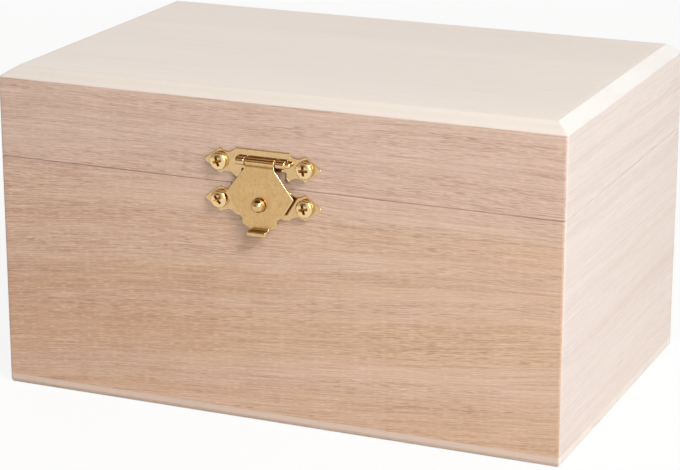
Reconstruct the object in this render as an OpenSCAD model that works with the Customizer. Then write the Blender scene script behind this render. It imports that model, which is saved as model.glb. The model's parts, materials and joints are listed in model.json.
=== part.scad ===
// Wooden keepsake box: mitred boards, plywood lid and bottom, two butt hinges behind, a brass clasp in front
// Sizes in millimetres, X to the right, Y to the back, Z up, origin in the middle of the underside

/* [Box] */
// Width, side to side
box_w = 150; // [120:1:200]
// Depth, front to back
box_d = 96; // [70:1:140]
// Height of the closed box
box_h = 84; // [76:1:120]
// Height of the seam where the lid parts from the base
seam_z = 61; // [45:0.5:66]
// Thickness of the side boards
wall = 7; // [6.5:0.1:10]
// Radius of the eased upright corners
corner_r = 0.8; // [0.3:0.1:2]
// Width of the eased outer edges along the seam
seam_ease = 0.25; // [0.1:0.05:0.6]

/* [Panels] */
// Thickness of the lid panel
lid_panel_t = 2.7; // [2:0.1:5]
// Upright edge left under the bevel of the lid panel
lid_edge_t = 0.2; // [0.1:0.05:0.8]
// Distance that the bevel of the lid panel runs in from each side
lid_bevel_run = 3.8; // [2:0.1:8]
// Thickness of the bottom panel
bottom_panel_t = 2.5; // [2:0.1:5]
// Width of the eased lower edge of the bottom panel
bottom_ease = 0.8; // [0.2:0.1:1.5]

/* [Clasp plates] */
// Sideways place of the clasp from the middle of the front
clasp_x = -1.85; // [-10:0.05:10]
// Thickness of the brass sheet of the clasp
clasp_sheet = 0.5; // [0.4:0.05:0.6]
// Height of the lid plate's screws above the seam
lid_line = 5.4; // [4.6:0.1:7]
// Depth of the base plate's screws below the seam
base_line = 4.2; // [4.1:0.1:6]
// Width of a plate from tip to tip
plate_w = 31.6; // [30:0.2:36]
// Width across the barbs of the two arrow heads
plate_barb_w = 22.8; // [22:0.2:25]
// Height across the barbs of an arrow head
plate_barb_h = 6.4; // [5.4:0.1:7]
// Width of the straight middle of a plate
plate_mid_w = 13.7; // [13.5:0.1:15]
// Height of the straight middle of a plate
plate_h = 7.3; // [6.8:0.1:8]
// Radius of the scallops between the middle and the arrow heads
plate_scallop_r = 2.8; // [2.4:0.1:5]
// Flat left on each side of a scallop
plate_cusp = 0.25; // [0.1:0.05:0.5]
// Width of the notch in the lower edge of the lid plate
notch_w = 13; // [11:0.1:13.1]
// Height of the notch in the lower edge of the lid plate
notch_h = 2.3; // [1:0.1:2.5]
// Distance between the two screws of a plate
clasp_screw_pitch = 22.8; // [22:0.2:25]

/* [Clasp hinge] */
// Height of the clasp's pin above the lid plate's screws
pin_rise = 0.8; // [0.6:0.1:1.2]
// Diameter of the clasp's pin
pin_d = 1; // [0.8:0.05:1.1]
// Width of the slit where the end of a rolled knuckle meets its own sheet
roll_slit = 0.15; // [0.1:0.05:0.3]
// Height of the opening in the lid plate behind the knuckles
opening_h = 1.8; // [1.7:0.05:1.9]
// Width of each knuckle of the lid plate
lug_w = 2.4; // [1.4:0.1:2.4]
// Width of the hasp's knuckle
hasp_knuckle_w = 7.8; // [6:0.1:7.8]
// Diameter of the pin's domed head
pin_head_d = 1.4; // [1.2:0.05:1.45]
// Length of the straight part of the pin's head
pin_head_l = 0.9; // [0.4:0.1:1.2]
// Rise of the dome on the pin's head
pin_dome = 0.6; // [0.3:0.05:0.65]
// Rise of the peened end of a pin
peen = 0.25; // [0.1:0.05:0.4]

/* [Hasp] */
// Width of the hasp below its knuckle
hasp_top_w = 7.9; // [7.8:0.1:8.6]
// Width of the hasp across its side corners
hasp_w = 18.1; // [15:0.1:18.6]
// Depth of the side corners below the pin
hasp_w_drop = 8.2; // [7:0.1:9]
// Width across the hips, where the sides end
hasp_hip_w = 12; // [10:0.1:13]
// Depth of the hips below the pin
hasp_hip_drop = 13.1; // [12.8:0.1:13.6]
// Width of the foot that carries the pull
hasp_foot_w = 9.1; // [7:0.1:9.6]
// Depth of the foot's upper corners below the pin
hasp_foot_drop = 14.1; // [13.9:0.1:14.6]
// Height of the foot's straight sides
hasp_foot_h = 1.1; // [0.5:0.1:1.5]
// Depth below the pin where the pull starts to curl
lip_drop = 15.9; // [15.7:0.1:17]
// Width of the pull
lip_w = 4.9; // [4:0.1:6.6]
// Inside radius of the curled pull
lip_r = 0.8; // [0.4:0.05:1.2]
// Angle through which the pull is curled
lip_sweep = 105; // [95:5:130]
// Length of the straight end of the pull
lip_end_l = 0.9; // [0.3:0.1:1.5]
// Radius of the scallops above the foot
hip_scallop_r = 1.3; // [1.1:0.1:2]
// Flat left on each side of a hasp scallop
hip_cusp = 0.15; // [0.05:0.05:0.3]

/* [Stud] */
// Diameter of the ball that the hasp closes over
ball_d = 3.5; // [2.8:0.1:3.7]
// Distance of the ball's middle in front of the closed hasp
ball_proud = 0.6; // [0.3:0.05:0.9]
// Diameter of the stud's neck
stud_neck_d = 2; // [1.5:0.1:2.6]
// Diameter of the riveted end in the base plate
stud_tail_d = 1.5; // [1:0.1:1.9]

/* [Clasp screws] */
// Diameter of the round head
round_head_d = 4.5; // [3.8:0.1:4.6]
// Height of the upright rim of the head
round_rim_h = 0.8; // [0.3:0.05:1]
// Rise of the dome above the rim
round_dome = 0.8; // [0.6:0.05:1.4]
// Diameter of the shank
clasp_shank_d = 2; // [1.5:0.1:2.4]
// Length under the head
clasp_screw_l = 6; // [4:0.1:6.2]
// Turn of the cross slot of each screw: lid left, lid right, base left, base right
slot_turns = [20, 5, 40, 14]; // [0:1:90]

/* [Back hinges] */
// Distance from each end of the box to the middle of the nearest hinge
hinge_inset = 30; // [20:1:50]
// Length of a hinge along its pin
hinge_l = 20; // [16:0.5:26]
// Width of a leaf from the pin to its free edge
leaf_w = 8.5; // [7.5:0.1:10]
// Radius of a leaf's free corners
leaf_r = 1.2; // [0.4:0.1:1.6]
// Thickness of the hinge sheet
hinge_sheet = 0.7; // [0.5:0.05:0.8]
// Diameter of the hinge pin
hinge_pin_d = 1.2; // [1:0.05:1.6]
// Length of the lid leaf's middle knuckle
mid_knuckle_l = 7; // [5:0.5:9]
// Distance between the two screws of a leaf
leaf_screw_pitch = 12; // [10:0.5:13]
// Height of a leaf's screws from the pin
leaf_screw_z = 5.1; // [4:0.1:5.6]

/* [Hinge screws] */
// Diameter of the countersunk head
flat_head_d = 3; // [2.6:0.1:3.4]
// Diameter of the shank
hinge_shank_d = 1.6; // [1.2:0.1:1.8]
// Whole length of the screw
hinge_screw_l = 6; // [4:0.1:6.2]

/* [Screw points and slots] */
// Length of a screw's point
screw_point = 1.2; // [0.6:0.1:2]
// Diameter left at the end of a screw's point
screw_end_d = 0.4; // [0.2:0.1:0.8]
// Length of the cross slot's arms, end to end
slot_l = 2.1; // [1.4:0.1:2.4]
// Width of the cross slot's arms
slot_w = 0.55; // [0.3:0.05:0.8]
// Depth of the cross slot in a round head
round_slot_depth = 0.9; // [0.5:0.05:1.2]
// Depth of the cross slot in a countersunk head
flat_slot_depth = 0.45; // [0.3:0.05:0.6]

/* [Clearances] */
// Radial clearance between a pin and its knuckles
pin_clear = 0.05; // [0.02:0.01:0.1]
// Gap between the front of the box and the clasp's knuckles
knuckle_back_gap = 0.25; // [0.25:0.05:0.4]
// Gap on each side of the knuckles in the opening of the lid plate
opening_gap = 0.1; // [0.05:0.05:0.15]
// Gap between the lid plate's knuckles and the shoulders of the hasp
shoulder_gap = 0.3; // [0.2:0.05:0.8]
// Gap between neighbouring knuckles along a pin
knuckle_gap = 0.25; // [0.15:0.05:0.5]
// Gap between the back of the box and the hinge knuckles
hinge_back_gap = 0.3; // [0.2:0.05:0.6]
// Gap between a hinge leaf and the other leaf's knuckles
leaf_gap = 0.3; // [0.2:0.05:0.6]
// Radial gap between the stud's ball and the hole of the hasp
ball_clear = 0.2; // [0.2:0.05:0.5]
// Radial clearance of a screw or rivet in its hole
screw_clear = 0.05; // [0.02:0.01:0.15]
// Room left under the point of a screw
point_room = 0.3; // [0.1:0.1:0.6]

/* [Hidden] */
$fn = 64;
// Length by which a cutting shape passes the face that it cuts
over = 1;

front_y = -box_d / 2;
back_y = box_d / 2;
lid_top_z = box_h - lid_panel_t;

// Heights of the clasp
lid_line_z = seam_z + lid_line;
base_line_z = seam_z - base_line;
pin_z = lid_line_z + pin_rise;

// Radii and reaches of the clasp hinge
pin_bore_r = pin_d / 2 + pin_clear;
knuckle_r = pin_bore_r + clasp_sheet;
pin_off = knuckle_r + knuckle_back_gap;
hasp_back_off = pin_off + pin_bore_r;
hasp_face_off = pin_off + knuckle_r;
lug_x = hasp_knuckle_w / 2 + knuckle_gap + lug_w / 2;
lug_end_x = lug_x + lug_w / 2;
lug_tail = pin_rise + plate_h / 2 - notch_h;
hasp_top_drop = knuckle_r + shoulder_gap;
hasp_hole_drop = pin_z - base_line_z;
ball_off = hasp_face_off + ball_proud;

// Radii and reaches of the back hinges
hinge_bore_r = hinge_pin_d / 2 + pin_clear;
hinge_knuckle_r = hinge_bore_r + hinge_sheet;
hinge_off = hinge_knuckle_r + hinge_back_gap;
leaf_start = hinge_knuckle_r + leaf_gap;
outer_start = mid_knuckle_l / 2 + knuckle_gap;
mid_spans = [[-mid_knuckle_l / 2, mid_knuckle_l / 2]];
outer_spans = [[-hinge_l / 2, -outer_start], [outer_start, hinge_l / 2]];

board_colour = "#c29c84";
panel_colour = "#e6d6c4";
brass_colour = "#c8a266";
pin_colour = "#dcc08a";
screw_colour = "#b98d4a";

// Bar along X, centred, from a profile drawn in depth and height
module along_x(length) {
    rotate([90, 0, 90])
        linear_extrude(length, center = true)
            children();
}

// Sheet standing on the plane y = 0, facing the front, from an outline drawn in width and height
module front_sheet(thickness) {
    rotate([90, 0, 0])
        linear_extrude(thickness)
            children();
}

// Round bar along X through the origin, centred
module bar_x(r, length) {
    rotate([0, 90, 0])
        cylinder(r = r, h = length, center = true);
}

// Spherical cap of base radius r and the given rise, standing on the plane z = 0
module dome(r, rise) {
    ball_r = (r * r + rise * rise) / (2 * rise);
    intersection() {
        translate([0, 0, rise - ball_r])
            sphere(ball_r);
        cylinder(r = 2 * r, h = 2 * rise);
    }
}

// Place on the front of the box at the clasp's middle, with y pointing into the wood
module at_clasp(z) {
    translate([clasp_x, front_y, z])
        children();
}

// Place on the back of the box at a hinge's pin line, side -1 left or 1 right
module at_hinge(side) {
    translate([side * (box_w / 2 - hinge_inset), back_y, seam_z])
        children();
}

// Places of a plate's two screws, with z pointing out of the box
module at_clasp_screws(z) {
    for (side = [-1, 1])
        at_clasp(z)
            translate([side * clasp_screw_pitch / 2, 0, 0])
                rotate([90, 0, 0])
                    children();
}

// Places of four leaf screws, up 1 for the lid leaves or -1 for the base leaves, z pointing out of the box
module at_leaf_screws(up) {
    for (side = [-1, 1], end = [-1, 1])
        at_hinge(side)
            translate([end * leaf_screw_pitch / 2, 0, up * leaf_screw_z])
                rotate([-90, 0, 0])
                    children();
}

// Plan of the box with eased upright corners
module box_plan() {
    square([box_w - 2 * corner_r, box_d], center = true);
    square([box_w, box_d - 2 * corner_r], center = true);
    for (sx = [-1, 1], sy = [-1, 1])
        translate([sx * (box_w / 2 - corner_r), sy * (box_d / 2 - corner_r)])
            circle(corner_r);
}

// Plan of the front board, mitred at both ends
module front_plan() {
    inner_x = box_w / 2 - wall;
    inner_y = box_d / 2 - wall;
    intersection() {
        box_plan();
        polygon([
            [-box_w / 2, -box_d / 2], [box_w / 2, -box_d / 2], [inner_x, -inner_y], [-inner_x, -inner_y]
        ]);
    }
}

// Plan of the right board, mitred at both ends
module right_plan() {
    inner_x = box_w / 2 - wall;
    inner_y = box_d / 2 - wall;
    intersection() {
        box_plan();
        polygon([
            [box_w / 2, -box_d / 2], [box_w / 2, box_d / 2], [inner_x, inner_y], [inner_x, -inner_y]
        ]);
    }
}

// Square bars on edge along the four outer edges at one height, which ease those edges
module edge_bars(z, ease) {
    bar = ease * sqrt(2);
    for (side = [-1, 1]) {
        translate([0, side * box_d / 2, z])
            rotate([45, 0, 0])
                cube([box_w + 2 * over, bar, bar], center = true);
        translate([side * box_w / 2, 0, z])
            rotate([0, 45, 0])
                cube([bar, box_d + 2 * over, bar], center = true);
    }
}

// Upright board of the base or lid from its plan, eased along the seam
module board(bottom_z, top_z) {
    difference() {
        translate([0, 0, bottom_z])
            linear_extrude(top_z - bottom_z)
                children();
        edge_bars(seam_z, seam_ease);
    }
}

module base_board() {
    board(bottom_panel_t, seam_z)
        children();
}

module lid_board() {
    board(seam_z, lid_top_z)
        children();
}

// Hole in the wood for a screw, drawn with the face of the wood at z = 0
module pilot_hole(shank_d, depth) {
    translate([0, 0, -depth - point_room])
        cylinder(r = shank_d / 2 + screw_clear, h = depth + point_room + over);
}

module clasp_pilot_hole() {
    pilot_hole(clasp_shank_d, clasp_screw_l - clasp_sheet);
}

module hinge_pilot_hole() {
    pilot_hole(hinge_shank_d, hinge_screw_l - hinge_sheet);
}

module base_front() {
    color(board_colour)
        difference() {
            base_board()
                front_plan();
            at_clasp_screws(base_line_z)
                clasp_pilot_hole();
        }
}

module base_back() {
    color(board_colour)
        difference() {
            base_board()
                mirror([0, 1])
                    front_plan();
            at_leaf_screws(-1)
                hinge_pilot_hole();
        }
}

module base_left() {
    color(board_colour)
        base_board()
            mirror([1, 0])
                right_plan();
}

module base_right() {
    color(board_colour)
        base_board()
            right_plan();
}

module lid_front() {
    color(board_colour)
        difference() {
            lid_board()
                front_plan();
            at_clasp_screws(lid_line_z)
                clasp_pilot_hole();
        }
}

module lid_back() {
    color(board_colour)
        difference() {
            lid_board()
                mirror([0, 1])
                    front_plan();
            at_leaf_screws(1)
                hinge_pilot_hole();
        }
}

module lid_left() {
    color(board_colour)
        lid_board()
            mirror([1, 0])
                right_plan();
}

module lid_right() {
    color(board_colour)
        lid_board()
            right_plan();
}

// Plywood under the boards, flush with them, its lower edge eased
module bottom_panel() {
    color(panel_colour)
        difference() {
            linear_extrude(bottom_panel_t)
                box_plan();
            edge_bars(0, bottom_ease);
        }
}

// Profile above the bevel, with its origin at the bevel's foot and its first axis pointing inwards
module bevel_profile() {
    rise = lid_panel_t - lid_edge_t;
    over_z = over * rise / lid_bevel_run;
    polygon([[-over, -over_z], [lid_bevel_run + over, rise + over_z], [-over, rise + over_z]]);
}

// Plywood on the boards, bevelled on all four sides
module lid_panel() {
    bevel_z = lid_top_z + lid_edge_t;
    color(panel_colour)
        difference() {
            translate([0, 0, lid_top_z])
                linear_extrude(lid_panel_t)
                    box_plan();
            for (side = [0, 1]) {
                mirror([0, side, 0])
                    translate([0, -box_d / 2, bevel_z])
                        along_x(box_w + 2 * over)
                            bevel_profile();
                mirror([side, 0, 0])
                    translate([-box_w / 2, 0, bevel_z])
                        rotate([0, 0, -90])
                            along_x(box_d + 2 * over)
                                bevel_profile();
            }
        }
}

// Middle of a circle of radius r that bites into the edge from a to b and leaves a flat at both ends
function scallop_middle(a, b, r, flat) =
    let (half = norm(b - a) / 2 - flat, out = [a.y - b.y, b.x - a.x] / norm(b - a))
    (a + b) / 2 + out * sqrt(r * r - half * half);

// Whole outline from the points of its right half, listed from bottom to top
function both_halves(right) =
    concat(right, [for (i = [len(right) - 1:-1:0]) [-right[i].x, right[i].y]]);

// Outline of a clasp plate: straight middle, scallops and an arrow head at each end
module plate_outline() {
    corner = [plate_mid_w / 2, plate_h / 2];
    barb = [plate_barb_w / 2, plate_barb_h / 2];
    difference() {
        polygon(both_halves([[corner.x, -corner.y], [barb.x, -barb.y], [plate_w / 2, 0], barb, corner]));
        for (sx = [0, 1], sy = [0, 1])
            mirror([sx, 0])
                mirror([0, sy])
                    translate(scallop_middle(corner, barb, plate_scallop_r, plate_cusp))
                        circle(plate_scallop_r);
    }
}

// Clearance hole of a clasp screw through its plate
module plate_screw_hole() {
    translate([0, 0, -over])
        cylinder(r = clasp_shank_d / 2 + screw_clear, h = clasp_sheet + 2 * over);
}

// Side profile of sheet rolled round a pin at the origin, with a tail along the first axis that steps out
module roll_profile(tail, step) {
    difference() {
        union() {
            circle(knuckle_r);
            polygon([
                [0, -knuckle_r], [tail, -knuckle_r - step], [tail, -pin_bore_r - step], [0, -pin_bore_r]
            ]);
        }
        circle(pin_bore_r);
        translate([pin_bore_r / 2, -pin_bore_r])
            square([knuckle_r, roll_slit]);
    }
}

// Plate on the lid with two tabs, pressed forwards from its notch and rolled round the clasp's pin
module clasp_lid_plate() {
    color(brass_colour)
        difference() {
            union() {
                at_clasp(lid_line_z)
                    front_sheet(clasp_sheet)
                        difference() {
                            plate_outline();
                            translate([-notch_w / 2, -plate_h / 2 - over])
                                square([notch_w, notch_h + over]);
                            translate([0, pin_rise])
                                square([2 * (lug_end_x + opening_gap), opening_h], center = true);
                        }
                at_clasp(pin_z)
                    for (side = [-1, 1])
                        translate([side * lug_x, -pin_off, 0])
                            along_x(lug_w)
                                rotate(90)
                                    mirror([1, 0])
                                        roll_profile(lug_tail, knuckle_back_gap);
            }
            at_clasp_screws(lid_line_z)
                plate_screw_hole();
        }
}

// Pin of the clasp: peened at the left end, with a domed head at the right
module clasp_pin() {
    color(pin_colour)
        at_clasp(pin_z)
            translate([0, -pin_off, 0]) {
                bar_x(pin_d / 2, 2 * lug_end_x);
                translate([lug_end_x, 0, 0])
                    rotate([0, 90, 0]) {
                        cylinder(d = pin_head_d, h = pin_head_l);
                        translate([0, 0, pin_head_l])
                            dome(pin_head_d / 2, pin_dome);
                    }
                translate([-lug_end_x, 0, 0])
                    rotate([0, -90, 0])
                        dome(pin_d / 2, peen);
            }
}

// Outline of the hasp, drawn with the pin at height 0
module hasp_outline() {
    hip = [hasp_hip_w / 2, -hasp_hip_drop];
    foot = [hasp_foot_w / 2, -hasp_foot_drop];
    right = [
        [lip_w / 2, -lip_drop], [foot.x, foot.y - hasp_foot_h], foot, hip, [hasp_w / 2, -hasp_w_drop],
        [hasp_top_w / 2, -hasp_top_drop]
    ];
    difference() {
        polygon(both_halves(right));
        for (side = [0, 1])
            mirror([side, 0])
                translate(scallop_middle(hip, foot, hip_scallop_r, hip_cusp))
                    circle(hip_scallop_r);
    }
}

// Side profile of the curled pull and its straight end, with its origin at the middle of the curl
module lip_profile() {
    reach = 2 * (lip_r + clasp_sheet);
    intersection() {
        difference() {
            circle(lip_r + clasp_sheet);
            circle(lip_r);
        }
        polygon([[0, 0], [reach, 0], [reach, -reach], [-reach * tan(lip_sweep - 90), -reach]]);
    }
    rotate(-lip_sweep)
        translate([lip_r, -lip_end_l])
            square([clasp_sheet, lip_end_l]);
}

// Swinging flap that closes over the stud: rolled knuckle, round hole and curled pull
module clasp_hasp() {
    color(brass_colour)
        at_clasp(pin_z)
            difference() {
                union() {
                    translate([0, -hasp_back_off, 0])
                        front_sheet(clasp_sheet)
                            hasp_outline();
                    translate([0, -pin_off, 0])
                        along_x(hasp_knuckle_w)
                            rotate(-90)
                                roll_profile(hasp_top_drop, 0);
                    translate([0, -hasp_face_off - lip_r, -lip_drop])
                        along_x(lip_w)
                            lip_profile();
                }
                translate([0, 0, -hasp_hole_drop])
                    rotate([90, 0, 0])
                        cylinder(r = ball_d / 2 + ball_clear, h = hasp_face_off + over);
            }
}

// Plate on the base that carries the stud
module clasp_base_plate() {
    color(brass_colour)
        difference() {
            at_clasp(base_line_z)
                front_sheet(clasp_sheet)
                    plate_outline();
            at_clasp_screws(base_line_z)
                plate_screw_hole();
            at_clasp(base_line_z)
                rotate([90, 0, 0])
                    translate([0, 0, -over])
                        cylinder(r = stud_tail_d / 2 + screw_clear, h = clasp_sheet + 2 * over);
        }
}

// Ball stud riveted in the base plate
module clasp_stud() {
    color(pin_colour)
        at_clasp(base_line_z)
            rotate([90, 0, 0]) {
                cylinder(d = stud_tail_d, h = clasp_sheet);
                translate([0, 0, clasp_sheet])
                    cylinder(d = stud_neck_d, h = ball_off - clasp_sheet);
                translate([0, 0, ball_off])
                    sphere(d = ball_d);
            }
}

// Cross-shaped slot that reaches down from the plane z = 0
module cross_slot(depth) {
    for (turn = [0, 90])
        rotate(turn)
            translate([-slot_l / 2, -slot_w / 2, -depth])
                cube([slot_l, slot_w, depth + over]);
}

// Shank and point of a screw, reaching down from the plane z = 0
module screw_shank(d, length) {
    translate([0, 0, screw_point - length])
        cylinder(d = d, h = length - screw_point);
    translate([0, 0, -length])
        cylinder(d1 = screw_end_d, d2 = d, h = screw_point);
}

// Round-head screw with the seat of its head at z = 0
module round_screw(turn) {
    difference() {
        union() {
            cylinder(d = round_head_d, h = round_rim_h);
            translate([0, 0, round_rim_h])
                dome(round_head_d / 2, round_dome);
            screw_shank(clasp_shank_d, clasp_screw_l);
        }
        translate([0, 0, round_rim_h + round_dome])
            rotate(turn)
                cross_slot(round_slot_depth);
    }
}

// Two round-head screws in a plate, first the left one
module plate_screws(z, turns) {
    color(screw_colour)
        for (i = [0, 1])
            at_clasp(z)
                translate([(i - 1 / 2) * clasp_screw_pitch, -clasp_sheet, 0])
                    rotate([90, 0, 0])
                        round_screw(turns[i]);
}

module clasp_lid_screws() {
    plate_screws(lid_line_z, [slot_turns[0], slot_turns[1]]);
}

module clasp_base_screws() {
    plate_screws(base_line_z, [slot_turns[2], slot_turns[3]]);
}

// Outline of the upper leaf above the pin line, with tabs down to the pin over the given spans
module leaf_outline(spans) {
    translate([-hinge_l / 2, leaf_start])
        square([hinge_l, leaf_w - leaf_start - leaf_r]);
    translate([leaf_r - hinge_l / 2, leaf_start])
        square([hinge_l - 2 * leaf_r, leaf_w - leaf_start]);
    for (side = [-1, 1])
        translate([side * (hinge_l / 2 - leaf_r), leaf_w - leaf_r])
            circle(leaf_r);
    for (span = spans)
        translate([span[0], 0])
            square([span[1] - span[0], leaf_start]);
}

// Upper leaf with rolled knuckles over the given spans, drawn with the wood at y = 0 and the pin at z = 0
module hinge_leaf(spans) {
    difference() {
        union() {
            mirror([0, 1, 0])
                front_sheet(hinge_sheet)
                    leaf_outline(spans);
            for (span = spans)
                translate([(span[0] + span[1]) / 2, hinge_off, 0])
                    bar_x(hinge_knuckle_r, span[1] - span[0]);
        }
        translate([0, hinge_off, 0])
            bar_x(hinge_bore_r, hinge_l + 2 * over);
        for (end = [-1, 1])
            translate([end * leaf_screw_pitch / 2, 0, leaf_screw_z])
                rotate([-90, 0, 0])
                    leaf_screw_hole();
    }
}

// Countersunk hole through a leaf, drawn with the wood at z = 0
module leaf_screw_hole() {
    cylinder(
        r1 = hinge_shank_d / 2 + screw_clear,
        r2 = flat_head_d / 2 + screw_clear,
        h = hinge_sheet
    );
    translate([0, 0, -over])
        cylinder(r = hinge_shank_d / 2 + screw_clear, h = hinge_sheet + over);
    translate([0, 0, hinge_sheet])
        cylinder(r = flat_head_d / 2 + screw_clear, h = over);
}

module hinge_base_leaf(side) {
    color(brass_colour)
        at_hinge(side)
            mirror([0, 0, 1])
                hinge_leaf(outer_spans);
}

module hinge_lid_leaf(side) {
    color(brass_colour)
        at_hinge(side)
            hinge_leaf(mid_spans);
}

// Pin of a back hinge, peened at both ends
module hinge_pin(side) {
    color(pin_colour)
        at_hinge(side)
            translate([0, hinge_off, 0]) {
                bar_x(hinge_pin_d / 2, hinge_l);
                for (end = [-1, 1])
                    translate([end * hinge_l / 2, 0, 0])
                        rotate([0, end * 90, 0])
                            dome(hinge_pin_d / 2, peen);
            }
}

// Countersunk screw drawn with the wood at z = 0 and its head flush with the leaf
module flat_screw() {
    difference() {
        union() {
            cylinder(d1 = hinge_shank_d, d2 = flat_head_d, h = hinge_sheet);
            screw_shank(hinge_shank_d, hinge_screw_l - hinge_sheet);
        }
        translate([0, 0, hinge_sheet])
            cross_slot(flat_slot_depth);
    }
}

module hinge_base_screws() {
    color(screw_colour)
        at_leaf_screws(-1)
            flat_screw();
}

module hinge_lid_screws() {
    color(screw_colour)
        at_leaf_screws(1)
            flat_screw();
}

base_front();
base_back();
base_left();
base_right();
bottom_panel();
lid_front();
lid_back();
lid_left();
lid_right();
lid_panel();
clasp_lid_plate();
clasp_pin();
clasp_hasp();
clasp_base_plate();
clasp_stud();
clasp_lid_screws();
clasp_base_screws();
hinge_base_leaf(-1);  // hinge_left_base_leaf
hinge_lid_leaf(-1);  // hinge_left_lid_leaf
hinge_pin(-1);  // hinge_left_pin
hinge_base_leaf(1);  // hinge_right_base_leaf
hinge_lid_leaf(1);  // hinge_right_lid_leaf
hinge_pin(1);  // hinge_right_pin
hinge_base_screws();
hinge_lid_screws();
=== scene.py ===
# Looks of a wooden keepsake box: mitred boards, plywood lid and bottom, brass clasp, butt hinges and screws
import json
import math

import bmesh
import bpy
from bpy.props import FloatProperty, FloatVectorProperty, PointerProperty
from mathutils import Matrix, Vector


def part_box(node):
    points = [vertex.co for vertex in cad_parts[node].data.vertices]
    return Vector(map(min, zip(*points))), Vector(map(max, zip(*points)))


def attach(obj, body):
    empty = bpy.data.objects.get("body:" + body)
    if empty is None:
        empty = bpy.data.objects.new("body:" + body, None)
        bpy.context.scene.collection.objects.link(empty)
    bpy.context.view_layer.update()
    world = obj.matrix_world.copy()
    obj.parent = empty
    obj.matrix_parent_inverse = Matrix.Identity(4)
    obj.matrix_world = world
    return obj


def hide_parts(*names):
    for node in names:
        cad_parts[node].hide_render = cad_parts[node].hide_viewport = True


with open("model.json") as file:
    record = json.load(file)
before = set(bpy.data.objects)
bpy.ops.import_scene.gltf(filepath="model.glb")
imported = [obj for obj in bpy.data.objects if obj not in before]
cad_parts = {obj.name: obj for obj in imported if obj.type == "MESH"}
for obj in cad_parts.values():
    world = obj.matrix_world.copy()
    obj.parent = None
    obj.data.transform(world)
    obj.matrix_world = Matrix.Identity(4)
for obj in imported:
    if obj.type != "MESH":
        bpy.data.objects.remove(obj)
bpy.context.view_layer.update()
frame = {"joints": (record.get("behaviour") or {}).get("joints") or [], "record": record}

bl_info = {
    "name": "Keepsake Box Looks",
    "version": (1, 0, 0),
    "blender": (4, 5, 0),
    "location": "View3D > Sidebar > Keepsake Box",
    "description": "Dresses a packed keepsake box with its boards, plywood, clasp, hinges and screws",
    "category": "Object",
}

MM = 0.001

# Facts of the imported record
RECORD = frame["record"]
BODY_OF = {node: body for body, nodes in RECORD["behaviour"]["bodies"].items() for node in nodes}
JOINT_AT = {joint["name"]: Vector(joint["pos_m"]) for joint in frame["joints"]}

# Planes of the box, from its nodes
BOX_LOW, BOX_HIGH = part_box("bottom_panel")
SEAM_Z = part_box("base_front")[1].z
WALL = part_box("base_front")[1].y - BOX_LOW.y
FRONT_Y = BOX_LOW.y
BACK_Y = BOX_HIGH.y
CLASP_X = JOINT_AT["hasp_hinge"].x
PIN_Z = JOINT_AT["hasp_hinge"].z
PIN_OFF = FRONT_Y - JOINT_AT["hasp_hinge"].y
HINGE_OFF = JOINT_AT["lid_hinge"].y - BACK_Y
SHEET = FRONT_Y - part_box("clasp_base_plate")[0].y


def middle(node):
    """Middle of a node's box."""
    low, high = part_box(node)
    return (low + high) / 2


def extent(node):
    """Size of a node's box."""
    low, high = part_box(node)
    return high - low


def linear(hex_colour):
    """Linear colour of an sRGB hex value, with full alpha."""
    values = [int(hex_colour[i:i + 2], 16) / 255 for i in (1, 3, 5)]
    return (*[v / 12.92 if v <= 0.04045 else ((v + 0.055) / 1.055) ** 2.4 for v in values], 1)


def length(name, description, millimetres):
    """Size that a user may change, given in millimetres."""
    return FloatProperty(
        name=name, description=description, default=millimetres * MM, min=0, precision=5, unit="LENGTH"
    )


def angle(name, description, degrees):
    """Angle that a user may change, given in degrees."""
    return FloatProperty(name=name, description=description, default=math.radians(degrees), subtype="ANGLE")


def power(name, description, watts):
    """Power of a lamp that a user may change."""
    return FloatProperty(name=name, description=description, default=watts, min=0, unit="POWER")


def colour(name, description, hex_colour):
    """Colour that a user may change, given as an sRGB hex value."""
    return FloatVectorProperty(
        name=name, description=description, default=linear(hex_colour),
        size=4, min=0, max=1, subtype="COLOR",
    )


class BoardSettings(bpy.types.PropertyGroup):
    """Sizes and colours of the mitred boards"""

    corner_round: length("Corner Round", "Radius of the eased upright corners", 0.8)
    edge_round: length("Edge Round", "Radius of the eased edges away from the seam", 0.06)
    seam_lip: length("Seam Lip", "Width of the sanded lip on each side of the seam", 0.12)
    seam_kerf: length("Seam Kerf", "Half the height of the saw line at the seam", 0.06)
    seam_depth: length("Seam Depth", "Depth of the saw line at the seam", 0.4)
    pore_length: length("Pore Length", "Usual length of a pore along the grain", 3.4)
    pore_width: length("Pore Width", "Usual width of a pore across the grain", 0.17)
    ring_width: length("Ring Width", "Usual width of a growth band", 5)
    climb: FloatProperty(
        name="Grain Climb", description="Rise of the grain low on the base boards", default=0.1
    )
    climb_depth: length("Climb Depth", "Depth below the seam where the grain climbs fully", 28)
    pink: colour("Pink Wood", "Pinkish tone of the front and back boards", "#ceb3a3")
    tan: colour("Tan Wood", "Warmer tone of the front and back boards", "#cfad8f")
    # The deep tone is laid on more strongly towards the left as painted shade, away from the lamp on the
    # right
    deep: colour("Deep Wood", "Deepest tone of the front and back boards", "#c29c7e")
    pore: colour("Pores", "Reddish brown of the pores and late wood", "#8a5c3c")
    # The side boards' paler, greyer tones are partly painted light, standing for the strong lamp on the
    # right face
    pale_pink: colour("Pale Pink Wood", "Pinkish tone of the paler side boards", "#d9cec7")
    pale_tan: colour("Pale Tan Wood", "Warmer tone of the paler side boards", "#dacdc6")
    pale_deep: colour("Pale Deep Wood", "Deepest tone of the paler side boards", "#d9ccc3")
    pale_pore: colour("Pale Pores", "Greyish pink of the side boards' pores and late wood", "#b59a8c")


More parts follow.
